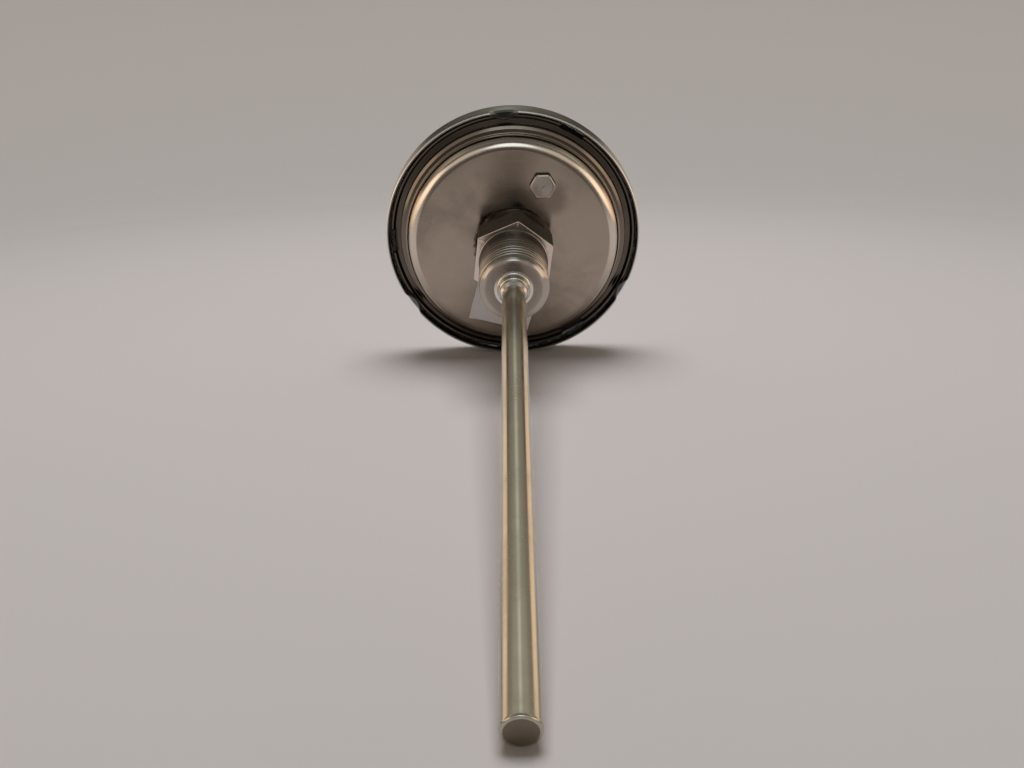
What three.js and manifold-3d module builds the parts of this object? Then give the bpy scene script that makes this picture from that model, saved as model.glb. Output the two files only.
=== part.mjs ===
// Back-connected bimetal dial thermometer, as used on brewing kettles and fermenters.
// Millimetres, +Z up. The stem lies along Y: its tip points to +Y and the dial faces -Y.
// The origin is on the stem axis, in the plane of the connection's hex shoulder.

import * as THREE from 'three';
import { mergeVertices } from 'three/addons/utils/BufferGeometryUtils.js';
import Module from 'manifold-3d';

const wasm = await Module();
wasm.setup();

// ---------------------------------------------------------------- driving dimensions

const GAP = 0.3; // between pieces that touch on the real object

// Process connection: 7/8 in hex and a 1/2 in taper pipe thread, 14 threads to the inch.
const HEX_ACROSS_FLATS = 22.225;
const HEX_LENGTH = 10.8;
const HEX_CORNER_ANGLE = 82.6; // seen from the stem side, from 3 o'clock
const THREAD_PITCH = 25.4 / 14;
const THREAD_DEPTH = 1.3;
const THREAD_TAPER = 1 / 32; // loss of radius for each millimetre of length
const THREAD_START = 4.7;
const THREAD_END = 18.6;
const THREAD_RADIUS = 10.62; // crest radius at the start
const NECK_RADIUS = 10.2;
const CONNECTION_END = 20.1;
const BEVEL_RADIUS = 8.3;
const BOSS_RADIUS = 11.3;
const SPIGOT_RADIUS = 7.9;
const SPIGOT_END = -17.9;
const NOSE_RADIUS = 5;
const NOSE_END = -22;
const NOSE_GROOVE = { back: -20.6, front: -21.5, depth: 0.9 };
const BORE_RADIUS = 3.5;
const LOCK_RING = { outer: 11.5, front: -17.6 };
const COLLAR = { base: 4.7, shoulder: 4.5, waist: 3.95, length: 4.2 };

// Stem: 1/4 in tube that reaches 6 in below the thread.
const STEM_RADIUS = 3.175;
const STEM_WALL = 0.5;
const STEM_BACK = -16;
const STEM_TIP = 172.9;
const STEM_TIP_ROUND = 0.5;
const PLUG_LENGTH = 6.4;

// Movement inside the stem.
const SHAFT_RADIUS = 0.8;
const SHAFT_FRONT = -24.9;
const SHAFT_REAR = 121;
const BUSHING_LENGTH = 6;
const BUSHING_STARTS = { front: 4, rear: 106 };
const HELIX_COLLAR = { radius: 2.2, length: 7 };
const HELIX_START = 122;
const HELIX_END = 165.6;
const HELIX_TURNS = 18;
const HELIX_RADIUS = 1.9;
const HELIX_STRIP = { thickness: 0.3, width: 1.4 };

// Case: a drawn cup with a stepped rim and a flange that the bezel locks behind.
const SHEET = 0.8;
const CASE_BACK = -15;
const CASE_RADIUS = 32.9;
const CASE_CORNER = 3.9;
const STEP_RADIUS = 35.1;
const STEP_BACK = -20.6;
const FLANGE_RADIUS = 38.2;
const FLANGE_GROOVE = -23.4;
const FLANGE_LIP = -22.3;
const FLANGE_FRONT = -24.2;
const MOUTH_RADIUS = 34.3;
const NOTCH_ANGLE = 61;
const NOTCH_WIDTH = 8;
const NOTCH_FLOOR = 36.8;

// Bezel: a drawn ring with three pressed scoops that hook behind the flange.
const LOCKS = 3;
const BEZEL_REAR = -20.2;
const BEZEL_REAR_RADIUS = 39.5;
const BEZEL_RADIUS = 39.95;
const BEZEL_SHOULDER = -26.2;
const BEZEL_FRONT = -30;
const BEZEL_CORNER = 2;
const BEZEL_OPENING = 35.4;
const SCOOP_ANGLE = 93;
const SCOOP_WIDTH = 12; // degrees
const SCOOP_DEPTH = 1.5;
const SCOOP_FRONT = -22;

// Window and dial.
const GASKET = { inner: 34.9, outer: 37.4, back: -24.5, front: -26 };
const LENS = { radius: 37.6, back: -26.3, front: -28.9, chamfer: 0.4 };
const DIAL = { radius: 33.7, hole: 1.6, back: -22.4, front: -22.9 };
const DIAL_SCREW_RADIUS = 11;
const DIAL_SCREW_HEAD = { radius: 1.9, height: 0.6 };
const DIAL_SCREW_SHANK = { radius: 0.8, length: 2 };

// Dial carrier and the calibration gear train.
const MODULE = 0.8;
const PINION_TEETH = 10;
const WHEEL_TEETH = 42; // on a full circle; the carrier has a sector of it
const SECTOR_TEETH = 7;
const PRESSURE_ANGLE = THREE.MathUtils.degToRad(25);
const ADDENDUM = 0.9 * MODULE;
const DEDENDUM = 1.15 * MODULE;
const BACKLASH = 0.25;
const CARRIER = { back: -19.4, front: -20.4, radius: 14, bore: NOSE_RADIUS + GAP };
const STANDOFF = { radius: 2, bore: 1.1, front: -22.1 };
const CARRIER_CLIP = { inner: 4.4, outer: 6.6, back: -20.8, front: -21.3, mouth: 50 };
const WAVE_WASHER = { outer: 7.3, middle: -18.65, thickness: 0.3, wave: 0.22, waves: 3 };
const CALIBRATION_ANGLE = 63.9; // seen from the stem side, from 3 o'clock
const CALIBRATION_HEX_RADIUS = 4.04; // over the corners, 7 mm across flats
const CALIBRATION_HEAD_TOP = -13.2;
const CALIBRATION_SHAFT = { radius: 2, front: -18.6 };
const CALIBRATION_JOURNAL = { radius: 1.2, front: -21.9 };
const CALIBRATION_CLIP = { outer: 2.8, back: -21.2, front: -21.7, mouth: 80 };
const O_RING = { thickness: 1.4, middle: -16.8 };
const PINION_WASHER = { outer: 3.6, back: -17.8, front: -18.4 };
const PINION = { back: -19, front: -20.9 };

// Pointer, drawn at 70 degrees Fahrenheit on a dial of 0 to 250 over 270 degrees of arc.
const DIAL_ZERO_ANGLE = 225; // seen from the dial side, from 3 o'clock
const DEGREES_PER_UNIT = 270 / 250;
const REST_READING = 70;
const POINTER = { back: -24.2, front: -24.6, ring: 4.6, tip: 29, tail: 10, tailDisc: 2.6 };
const POINTER_HUB = { radius: 2.6, nose: 1.6, back: -23.4, front: -25.6 };

// Paper label stuck on the back of the case.
const LABEL = { width: 19.3, height: 14, thickness: 0.3, x: 3.3, z: -19.7, turn: 15.7 };

const ROUND = { fine: 72, large: 60, medium: 32, small: 18, tiny: 12 };

// ---------------------------------------------------------------- finishes

const FINISHES = {
  stainless: { color: 0x8f867b, roughness: 0.35, metalness: 1 },
  bezel: { color: 0x85807a, roughness: 0.3, metalness: 1 },
  machined: { color: 0x9a9188, roughness: 0.28, metalness: 1 },
  tube: { color: 0x8c8a7e, roughness: 0.22, metalness: 1 },
  brass: { color: 0xb08d4a, roughness: 0.4, metalness: 1 },
  bimetal: { color: 0x8a7f70, roughness: 0.45, metalness: 1 },
  glass: { color: 0xdfe6e6, roughness: 0.05, metalness: 0, transparent: true, opacity: 0.35 },
  rubber: { color: 0x1c1b1a, roughness: 0.8, metalness: 0 },
  dial: { color: 0xf0efea, roughness: 0.6, metalness: 0 },
  pointer: { color: 0x161514, roughness: 0.5, metalness: 0 },
  paper: { color: 0xc8c4c4, roughness: 0.9, metalness: 0 },
};

// ---------------------------------------------------------------- geometry helpers

// The place (x, z) at an angle that is counter-clockwise from 3 o'clock, seen from the stem side.
function fromBehind(radius, degrees) {
  const angle = THREE.MathUtils.degToRad(degrees);
  return new THREE.Vector2(-radius * Math.cos(angle), radius * Math.sin(angle));
}

// Points of an arc round (x, y), with angles in degrees.
function arc(x, y, radius, from, to, steps) {
  return Array.from({ length: steps + 1 }, (_, i) => {
    const angle = THREE.MathUtils.degToRad(from + ((to - from) * i) / steps);
    return [x + radius * Math.cos(angle), y + radius * Math.sin(angle)];
  });
}

// A closed geometry as a solid, with its faces pointing out.
function toSolid(geometry) {
  const bare = geometry.clone();
  bare.deleteAttribute('normal');
  bare.deleteAttribute('uv');
  const merged = mergeVertices(bare, 1e-4);
  const position = merged.attributes.position;
  const corner = [0, 1, 2].map(() => new THREE.Vector3());
  const triangles = [];
  let volume = 0;
  for (let i = 0; i < merged.index.count; i += 3) {
    const face = [0, 1, 2].map((k) => merged.index.getX(i + k));
    if (new Set(face).size < 3) continue;
    face.forEach((vertex, k) => corner[k].fromBufferAttribute(position, vertex));
    volume += corner[0].dot(corner[1].cross(corner[2]));
    triangles.push(face);
  }
  if (volume < 0) triangles.forEach((face) => face.reverse());
  return new wasm.Manifold(
    new wasm.Mesh({
      numProp: 3,
      vertProperties: new Float32Array(position.array),
      triVerts: new Uint32Array(triangles.flat()),
    }),
  );
}

function toGeometry(solid) {
  const mesh = solid.getMesh();
  const geometry = new THREE.BufferGeometry();
  geometry.setAttribute('position', new THREE.BufferAttribute(mesh.vertProperties, 3));
  geometry.setIndex(new THREE.BufferAttribute(mesh.triVerts, 1));
  const flat = geometry.toNonIndexed();
  flat.computeVertexNormals();
  return flat;
}

// A geometry turned about Y from an outline of [radius, y] points.
function latheGeometry(outline, segments, startAngle = 0) {
  const points = outline.map(([radius, y]) => new THREE.Vector2(radius, y));
  const meetsAxis = outline[0][0] === 0 && outline.at(-1)[0] === 0;
  if (!meetsAxis) points.push(points[0].clone());
  return new THREE.LatheGeometry(points, segments, startAngle);
}

function turned(outline, segments) {
  return toSolid(latheGeometry(outline, segments));
}

// A plain ring or sleeve between two radii and two places along Y.
function sleeve(inner, outer, back, front, segments) {
  return turned([[inner, back], [outer, back], [outer, front], [inner, front]], segments);
}

function rod(radius, back, front, segments) {
  return turned([[0, back], [radius, back], [radius, front], [0, front]], segments);
}

// A circle of straight steps, for a plate's outline or hole.
function circlePath(radius, segments, centreX = 0) {
  const points = Array.from({ length: segments }, (_, i) => {
    const angle = (2 * Math.PI * i) / segments;
    return new THREE.Vector2(centreX + radius * Math.cos(angle), radius * Math.sin(angle));
  });
  return new THREE.Path(points);
}

// A flat plate from a shape drawn in X and Z, lying between back and front along Y.
function plate(shape, back, front) {
  const geometry = new THREE.ExtrudeGeometry(shape, { depth: back - front, bevelEnabled: false });
  geometry.rotateX(Math.PI / 2);
  geometry.translate(0, back, 0);
  return toSolid(geometry);
}

// A bar with a four-cornered section, skinned over a list of sections; closed joins its ends.
function skinned(sections, closed) {
  const corners = 4;
  const position = sections.flat().flatMap((point) => point.toArray());
  const index = [];
  const spans = closed ? sections.length : sections.length - 1;
  for (let i = 0; i < spans; i += 1) {
    const here = i * corners;
    const next = ((i + 1) % sections.length) * corners;
    for (let k = 0; k < corners; k += 1) {
      const side = (k + 1) % corners;
      index.push(here + k, here + side, next + side);
      index.push(here + k, next + side, next + k);
    }
  }
  if (!closed) {
    const last = (sections.length - 1) * corners;
    index.push(0, 2, 1, 0, 3, 2);
    index.push(last, last + 1, last + 2, last, last + 2, last + 3);
  }
  const geometry = new THREE.BufferGeometry();
  geometry.setAttribute('position', new THREE.Float32BufferAttribute(position, 3));
  geometry.setIndex(index);
  return toSolid(geometry);
}

// A rectangular section in the plane through Y at the given angle.
function section(angle, inner, outer, back, front) {
  const at = (radius, y) => new THREE.Vector3(radius * Math.cos(angle), y, radius * Math.sin(angle));
  return [at(inner, back), at(outer, back), at(outer, front), at(inner, front)];
}

// A snap ring with a mouth, in degrees, that opens upwards.
function snapRing({ inner, outer, back, front, mouth }) {
  const steps = 16;
  const sections = Array.from({ length: steps + 1 }, (_, i) => {
    const degrees = 90 + mouth / 2 + ((360 - mouth) * i) / steps;
    return section(THREE.MathUtils.degToRad(degrees), inner, outer, back, front);
  });
  return skinned(sections, false);
}

// ---------------------------------------------------------------- gears

// Half the angle that a tooth fills at a radius, from the involute of its base circle.
function halfTooth(teeth, radius) {
  const pitchRadius = (MODULE * teeth) / 2;
  const baseRadius = pitchRadius * Math.cos(PRESSURE_ANGLE);
  const involute = (angle) => Math.tan(angle) - angle;
  const slope = Math.acos(baseRadius / Math.max(radius, baseRadius));
  const atPitch = Math.PI / (2 * teeth) - BACKLASH / (2 * pitchRadius);
  return atPitch + involute(PRESSURE_ANGLE) - involute(slope);
}

// The outline of one tooth, from its root on one side to its root on the other.
function toothPoints(teeth, centreAngle) {
  const pitchRadius = (MODULE * teeth) / 2;
  const root = pitchRadius - DEDENDUM;
  const tip = pitchRadius + ADDENDUM;
  const flankSteps = 3;
  const radii = Array.from({ length: flankSteps + 1 }, (_, i) => root + ((tip - root) * i) / flankSteps);
  const rising = radii.map((radius) => [radius, centreAngle - halfTooth(teeth, radius)]);
  const falling = radii.map((radius) => [radius, centreAngle + halfTooth(teeth, radius)]).reverse();
  return [...rising, ...falling].map(
    ([radius, angle]) => new THREE.Vector2(radius * Math.cos(angle), radius * Math.sin(angle)),
  );
}

const CENTRE_DISTANCE = (MODULE * (PINION_TEETH + WHEEL_TEETH)) / 2;
const CALIBRATION_PLACE = fromBehind(CENTRE_DISTANCE, CALIBRATION_ANGLE);
const CALIBRATION_DIRECTION = CALIBRATION_PLACE.angle();

function pinionShape() {
  const step = (2 * Math.PI) / PINION_TEETH;
  const firstTooth = CALIBRATION_DIRECTION + Math.PI + step / 2;
  const points = [];
  for (let i = 0; i < PINION_TEETH; i += 1) {
    points.push(...toothPoints(PINION_TEETH, firstTooth + i * step));
  }
  return new THREE.Shape(points);
}

function carrierShape() {
  const step = (2 * Math.PI) / WHEEL_TEETH;
  const halfSector = (SECTOR_TEETH * step) / 2;
  const points = [];
  for (let i = 0; i < SECTOR_TEETH; i += 1) {
    const angle = CALIBRATION_DIRECTION + (i - (SECTOR_TEETH - 1) / 2) * step;
    points.push(...toothPoints(WHEEL_TEETH, angle));
  }
  const discSteps = 30;
  for (let i = 0; i <= discSteps; i += 1) {
    const angle = CALIBRATION_DIRECTION + halfSector + ((2 * Math.PI - 2 * halfSector) * i) / discSteps;
    points.push(new THREE.Vector2(Math.cos(angle), Math.sin(angle)).multiplyScalar(CARRIER.radius));
  }
  const shape = new THREE.Shape(points);
  shape.holes.push(circlePath(CARRIER.bore, ROUND.small));
  return shape;
}

// ---------------------------------------------------------------- case and bezel

function caseShell() {
  const outside = [
    [SPIGOT_RADIUS + GAP, CASE_BACK],
    ...arc(CASE_RADIUS - CASE_CORNER, CASE_BACK - CASE_CORNER, CASE_CORNER, 90, 0, 7),
    [CASE_RADIUS, STEP_BACK + 0.5],
    [CASE_RADIUS + 0.5, STEP_BACK],
    [STEP_RADIUS - 0.5, STEP_BACK - 0.4],
    [STEP_RADIUS, STEP_BACK - 1],
    [STEP_RADIUS, FLANGE_GROOVE],
    [FLANGE_RADIUS - 1.5, FLANGE_GROOVE],
    [FLANGE_RADIUS - 0.7, FLANGE_LIP],
    [FLANGE_RADIUS, FLANGE_LIP],
    [FLANGE_RADIUS, FLANGE_FRONT],
  ];
  const innerCorner = CASE_CORNER - SHEET;
  const innerRadius = CASE_RADIUS - SHEET;
  const inside = [
    [MOUTH_RADIUS, FLANGE_FRONT],
    [MOUTH_RADIUS, STEP_BACK - 1.4],
    [innerRadius, STEP_BACK - SHEET],
    ...arc(innerRadius - innerCorner, CASE_BACK - CASE_CORNER, innerCorner, 0, 90, 6),
    [SPIGOT_RADIUS + GAP, CASE_BACK - SHEET],
  ];
  const screwHole = new THREE.CylinderGeometry(
    CALIBRATION_SHAFT.radius + GAP, CALIBRATION_SHAFT.radius + GAP, 4 * SHEET, ROUND.small,
  );
  screwHole.translate(CALIBRATION_PLACE.x, CASE_BACK, CALIBRATION_PLACE.y);
  let shell = turned([...outside, ...inside], ROUND.large).subtract(toSolid(screwHole));
  for (let i = 0; i < LOCKS; i += 1) {
    shell = shell.subtract(notchCutter(NOTCH_ANGLE + (360 / LOCKS) * i));
  }
  return shell;
}

function notchCutter(degrees) {
  const depth = 4;
  const box = new THREE.BoxGeometry(depth, 2 * (FLANGE_LIP - FLANGE_FRONT), NOTCH_WIDTH);
  const centre = fromBehind(NOTCH_FLOOR + depth / 2, degrees);
  box.rotateY(-centre.angle());
  box.translate(centre.x, FLANGE_LIP, centre.y);
  return toSolid(box);
}

function bezelRing() {
  const wall = BEZEL_RADIUS - SHEET;
  const outline = [
    [BEZEL_REAR_RADIUS, BEZEL_REAR],
    [BEZEL_REAR_RADIUS + 0.05, (BEZEL_REAR + SCOOP_FRONT) / 2],
    [BEZEL_REAR_RADIUS + 0.1, SCOOP_FRONT],
    [BEZEL_RADIUS, BEZEL_SHOULDER],
    ...arc(BEZEL_RADIUS - BEZEL_CORNER, BEZEL_FRONT + BEZEL_CORNER, BEZEL_CORNER, 0, -90, 4),
    [BEZEL_OPENING, BEZEL_FRONT],
    [BEZEL_OPENING, BEZEL_FRONT + SHEET],
    [wall - 0.8, BEZEL_FRONT + SHEET],
    [wall, BEZEL_FRONT + SHEET + 0.8],
    [BEZEL_REAR_RADIUS + 0.1 - SHEET, SCOOP_FRONT],
    [BEZEL_REAR_RADIUS + 0.05 - SHEET, (BEZEL_REAR + SCOOP_FRONT) / 2],
    [BEZEL_REAR_RADIUS - SHEET, BEZEL_REAR],
  ];
  const scoopMiddle = THREE.MathUtils.degToRad(SCOOP_ANGLE - 90);
  const geometry = latheGeometry(outline, ROUND.fine, scoopMiddle);
  pressScoops(geometry.attributes.position);
  return toSolid(geometry);
}

// Moves the points near the rear edge inwards, most in the middle of each scoop.
function pressScoops(position) {
  for (let i = 0; i < position.count; i += 1) {
    const x = position.getX(i);
    const y = position.getY(i);
    const z = position.getZ(i);
    const towardsRear = THREE.MathUtils.clamp((y - SCOOP_FRONT) / (BEZEL_REAR - SCOOP_FRONT), 0, 1);
    const degrees = THREE.MathUtils.radToDeg(Math.atan2(z, -x)) - SCOOP_ANGLE;
    const spacing = 360 / LOCKS;
    const offset = THREE.MathUtils.euclideanModulo(degrees + spacing / 2, spacing) - spacing / 2;
    const across = THREE.MathUtils.clamp((2 * offset) / SCOOP_WIDTH, -1, 1);
    const inwards = SCOOP_DEPTH * towardsRear * Math.cos((across * Math.PI) / 2) ** 2;
    const radius = Math.hypot(x, z);
    const scale = (radius - inwards) / radius;
    position.setXYZ(i, x * scale, y, z * scale);
  }
}

function lensDisc() {
  const { radius, back, front, chamfer } = LENS;
  return turned([
    [0, back], [radius - chamfer, back], [radius, back - chamfer],
    [radius, front + chamfer], [radius - chamfer, front], [0, front],
  ], ROUND.large);
}

// ---------------------------------------------------------------- process connection and stem

// The connection is one turned piece. The thread's ridges are rings with the true pitch and taper.
function processConnection() {
  const ridges = [];
  const count = Math.floor((THREAD_END - THREAD_START) / THREAD_PITCH);
  for (let i = 0; i < count; i += 1) {
    const start = THREAD_START + i * THREAD_PITCH;
    const crest = THREAD_RADIUS - THREAD_TAPER * (start - THREAD_START);
    ridges.push([crest - THREAD_DEPTH, start]);
    ridges.push([crest, start + 0.42 * THREAD_PITCH]);
    ridges.push([crest, start + 0.58 * THREAD_PITCH]);
  }
  const lastCrest = THREAD_RADIUS - THREAD_TAPER * (THREAD_END - THREAD_START);
  const hex = hexPrism(HEX_ACROSS_FLATS / Math.sqrt(3), -HEX_LENGTH, 0, HEX_CORNER_ANGLE);
  return turned([
    [0, NOSE_END],
    [NOSE_RADIUS, NOSE_END],
    [NOSE_RADIUS, NOSE_GROOVE.front],
    [NOSE_RADIUS - NOSE_GROOVE.depth, NOSE_GROOVE.front],
    [NOSE_RADIUS - NOSE_GROOVE.depth, NOSE_GROOVE.back],
    [NOSE_RADIUS, NOSE_GROOVE.back],
    [NOSE_RADIUS, SPIGOT_END],
    [SPIGOT_RADIUS, SPIGOT_END],
    [SPIGOT_RADIUS, CASE_BACK + GAP],
    [BOSS_RADIUS, CASE_BACK + GAP],
    [BOSS_RADIUS, -HEX_LENGTH],
    [NECK_RADIUS, -HEX_LENGTH],
    [NECK_RADIUS, THREAD_START - 0.6],
    ...ridges,
    [lastCrest - THREAD_DEPTH, THREAD_END - 1],
    [lastCrest, THREAD_END - 0.4],
    [lastCrest, THREAD_END],
    [BEVEL_RADIUS, CONNECTION_END],
    [0, CONNECTION_END],
  ], ROUND.medium).add(hex).subtract(rod(BORE_RADIUS, NOSE_END - 1, CONNECTION_END + 1, ROUND.small));
}

// A hexagonal prism along Y with one corner at the given angle, seen from the stem side.
function hexPrism(cornerRadius, from, to, cornerAngle) {
  const corner = fromBehind(1, cornerAngle);
  const geometry = new THREE.CylinderGeometry(cornerRadius, cornerRadius, to - from, 6);
  geometry.rotateY(Math.atan2(corner.x, corner.y));
  geometry.translate(0, (from + to) / 2, 0);
  return toSolid(geometry);
}

function weldCollar() {
  const { base, shoulder, waist, length } = COLLAR;
  const start = CONNECTION_END + GAP;
  const bore = STEM_RADIUS + GAP;
  return turned([
    [bore, start], [base, start], [shoulder, start + 0.2 * length], [waist, start + 0.4 * length],
    [waist, start + 0.5 * length], [waist - 0.2, start + 0.9 * length], [bore, start + length],
  ], ROUND.small);
}

function stemTube() {
  const inner = STEM_RADIUS - STEM_WALL;
  return turned([
    [inner, STEM_BACK],
    [STEM_RADIUS, STEM_BACK],
    ...arc(STEM_RADIUS - STEM_TIP_ROUND, STEM_TIP - STEM_TIP_ROUND, STEM_TIP_ROUND, 0, 90, 3),
  ], ROUND.small);
}

function bimetalHelix() {
  const stepsPerTurn = 8;
  const steps = HELIX_TURNS * stepsPerTurn;
  const inner = HELIX_RADIUS - HELIX_STRIP.thickness / 2;
  const outer = HELIX_RADIUS + HELIX_STRIP.thickness / 2;
  const rise = HELIX_END - HELIX_START - HELIX_STRIP.width;
  const sections = Array.from({ length: steps + 1 }, (_, i) => {
    const start = HELIX_START + (rise * i) / steps;
    const angle = (2 * Math.PI * i) / stepsPerTurn;
    return section(angle, inner, outer, start, start + HELIX_STRIP.width);
  });
  return skinned(sections, false);
}

// ---------------------------------------------------------------- dial, carrier and pointer

function dialPlate() {
  const shape = new THREE.Shape(circlePath(DIAL.radius, ROUND.large).getPoints());
  shape.holes.push(circlePath(DIAL.hole, ROUND.small));
  for (const side of [-1, 1]) {
    shape.holes.push(circlePath(STANDOFF.bore, ROUND.tiny, side * DIAL_SCREW_RADIUS));
  }
  return plate(shape, DIAL.back, DIAL.front);
}

function dialCarrier() {
  let carrier = plate(carrierShape(), CARRIER.back, CARRIER.front);
  for (const side of [-1, 1]) {
    const length = CARRIER.front + 0.2 - STANDOFF.front;
    const post = new THREE.CylinderGeometry(STANDOFF.radius, STANDOFF.radius, length, ROUND.small);
    post.translate(side * DIAL_SCREW_RADIUS, STANDOFF.front + length / 2, 0);
    carrier = carrier.add(toSolid(post));
    const bore = new THREE.CylinderGeometry(STANDOFF.bore, STANDOFF.bore, 6, ROUND.tiny);
    bore.translate(side * DIAL_SCREW_RADIUS, STANDOFF.front, 0);
    carrier = carrier.subtract(toSolid(bore));
  }
  return carrier;
}

// A pan-head screw with a straight slot; its head rests at y = 0 and faces -Y.
function dialScrew() {
  const { radius, height } = DIAL_SCREW_HEAD;
  const slot = new THREE.BoxGeometry(3 * radius, 0.6, 0.5);
  slot.translate(0, -height, 0);
  return turned([
    [0, DIAL_SCREW_SHANK.length],
    [DIAL_SCREW_SHANK.radius, DIAL_SCREW_SHANK.length],
    [DIAL_SCREW_SHANK.radius, 0],
    [radius, 0],
    [radius - 0.1, -0.7 * height],
    [radius - 0.5, -height],
    [0, -height],
  ], ROUND.tiny).subtract(toSolid(slot));
}

function waveWasher() {
  const { outer, middle, thickness, wave, waves } = WAVE_WASHER;
  const steps = 36;
  const sections = Array.from({ length: steps }, (_, i) => {
    const angle = (2 * Math.PI * i) / steps;
    const place = middle + wave * Math.cos(waves * angle);
    return section(angle, NOSE_RADIUS + GAP, outer, place + thickness / 2, place - thickness / 2);
  });
  return skinned(sections, true);
}

// A needle along +X with a counterweight disc on its tail.
function pointerBlade() {
  const { ring, tip, tail, tailDisc, back, front } = POINTER;
  const needle = new THREE.Shape([
    new THREE.Vector2(-tail, -0.7),
    new THREE.Vector2(0, -1.5),
    new THREE.Vector2(tip - 5, -0.55),
    new THREE.Vector2(tip, 0),
    new THREE.Vector2(tip - 5, 0.55),
    new THREE.Vector2(0, 1.5),
    new THREE.Vector2(-tail, 0.7),
  ]);
  const weight = new THREE.CylinderGeometry(tailDisc, tailDisc, back - front, ROUND.small);
  weight.translate(-tail, (back + front) / 2, 0);
  return plate(needle, back, front)
    .add(rod(ring, back, front, ROUND.small))
    .add(toSolid(weight))
    .subtract(rod(POINTER_HUB.radius + GAP, back + 1, front - 1, ROUND.small));
}

function pointerHub() {
  const { radius, nose, back, front } = POINTER_HUB;
  const bore = SHAFT_RADIUS + GAP;
  return turned([
    [bore, back], [radius, back], [radius, front + 0.6], [nose, front],
    [0, front], [0, SHAFT_FRONT - GAP], [bore, SHAFT_FRONT - GAP],
  ], ROUND.small);
}

// ---------------------------------------------------------------- calibration train

// These pieces are drawn round the Y axis and moved to the screw's place in the assembly.

function calibrationScrew() {
  const shaft = turned([
    [0, CASE_BACK + 1],
    [CALIBRATION_SHAFT.radius, CASE_BACK + 1],
    [CALIBRATION_SHAFT.radius, CALIBRATION_SHAFT.front],
    [CALIBRATION_JOURNAL.radius, CALIBRATION_SHAFT.front],
    [CALIBRATION_JOURNAL.radius, CALIBRATION_JOURNAL.front],
    [0, CALIBRATION_JOURNAL.front],
  ], ROUND.small);
  return shaft.add(hexPrism(CALIBRATION_HEX_RADIUS, CASE_BACK + GAP, CALIBRATION_HEAD_TOP, 0));
}

function oRing() {
  const half = O_RING.thickness / 2;
  const sides = 8;
  const outline = arc(CALIBRATION_SHAFT.radius + GAP + half, O_RING.middle, half, 0, 360, sides);
  return turned(outline.slice(0, sides), ROUND.small);
}

function pinion() {
  const bore = rod(CALIBRATION_JOURNAL.radius + GAP, PINION.back + 1, PINION.front - 1, ROUND.small);
  return plate(pinionShape(), PINION.back, PINION.front).subtract(bore);
}

// ---------------------------------------------------------------- assembly

const group = new THREE.Group();

function addPiece(parent, name, finish, solid) {
  const mesh = new THREE.Mesh(toGeometry(solid), new THREE.MeshStandardMaterial(FINISHES[finish]));
  mesh.name = name;
  parent.add(mesh);
  return mesh;
}

function addCaseAndWindow() {
  const { inner, outer, back, front } = GASKET;
  addPiece(group, 'case_shell', 'stainless', caseShell());
  addPiece(group, 'bezel', 'bezel', bezelRing());
  addPiece(group, 'lens', 'glass', lensDisc());
  addPiece(group, 'lens_gasket', 'rubber', sleeve(inner, outer, back, front, ROUND.large));
}

function addConnectionAndStem() {
  const tubeBore = STEM_RADIUS - STEM_WALL;
  const ringBack = CASE_BACK - SHEET - GAP;
  const lockRing = sleeve(SPIGOT_RADIUS + GAP, LOCK_RING.outer, ringBack, LOCK_RING.front, ROUND.medium);
  addPiece(group, 'process_connection', 'machined', processConnection());
  addPiece(group, 'connection_lock_ring', 'machined', lockRing);
  addPiece(group, 'weld_collar', 'machined', weldCollar());
  addPiece(group, 'stem_tube', 'tube', stemTube());
  addPiece(group, 'tip_plug', 'tube', rod(tubeBore - GAP, STEM_TIP - PLUG_LENGTH, STEM_TIP, ROUND.small));
}

function addMovement() {
  const bore = SHAFT_RADIUS + GAP;
  const tubeBore = STEM_RADIUS - STEM_WALL;
  for (const [place, start] of Object.entries(BUSHING_STARTS)) {
    const bushing = sleeve(bore, tubeBore - GAP, start, start + BUSHING_LENGTH, ROUND.tiny);
    addPiece(group, `${place}_guide_bushing`, 'brass', bushing);
  }
  const collarStart = SHAFT_REAR - HELIX_COLLAR.length;
  const collar = sleeve(bore, HELIX_COLLAR.radius, collarStart, SHAFT_REAR, ROUND.tiny);
  addPiece(group, 'helix_collar', 'brass', collar);
  addPiece(group, 'pointer_shaft', 'machined', rod(SHAFT_RADIUS, SHAFT_FRONT, SHAFT_REAR, ROUND.tiny));
  addPiece(group, 'bimetal_helix', 'bimetal', bimetalHelix());
}

function addDial() {
  addPiece(group, 'dial_plate', 'dial', dialPlate());
  addPiece(group, 'dial_carrier', 'brass', dialCarrier());
  addPiece(group, 'carrier_wave_washer', 'machined', waveWasher());
  addPiece(group, 'carrier_clip', 'machined', snapRing(CARRIER_CLIP));
  for (const [name, side] of Object.entries({ left: -1, right: 1 })) {
    const screw = addPiece(group, `dial_screw_${name}`, 'brass', dialScrew());
    screw.position.set(side * DIAL_SCREW_RADIUS, DIAL.front - GAP, 0);
  }
}

function addCalibrationTrain() {
  const train = new THREE.Group();
  const { outer, back, front } = PINION_WASHER;
  const washer = sleeve(CALIBRATION_SHAFT.radius + GAP, outer, back, front, ROUND.small);
  const clip = { ...CALIBRATION_CLIP, inner: CALIBRATION_JOURNAL.radius + GAP };
  train.position.set(CALIBRATION_PLACE.x, 0, CALIBRATION_PLACE.y);
  group.add(train);
  addPiece(train, 'calibration_screw', 'machined', calibrationScrew());
  addPiece(train, 'calibration_o_ring', 'rubber', oRing());
  addPiece(train, 'calibration_washer', 'machined', washer);
  addPiece(train, 'calibration_pinion', 'brass', pinion());
  addPiece(train, 'calibration_clip', 'machined', snapRing(clip));
}

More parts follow.
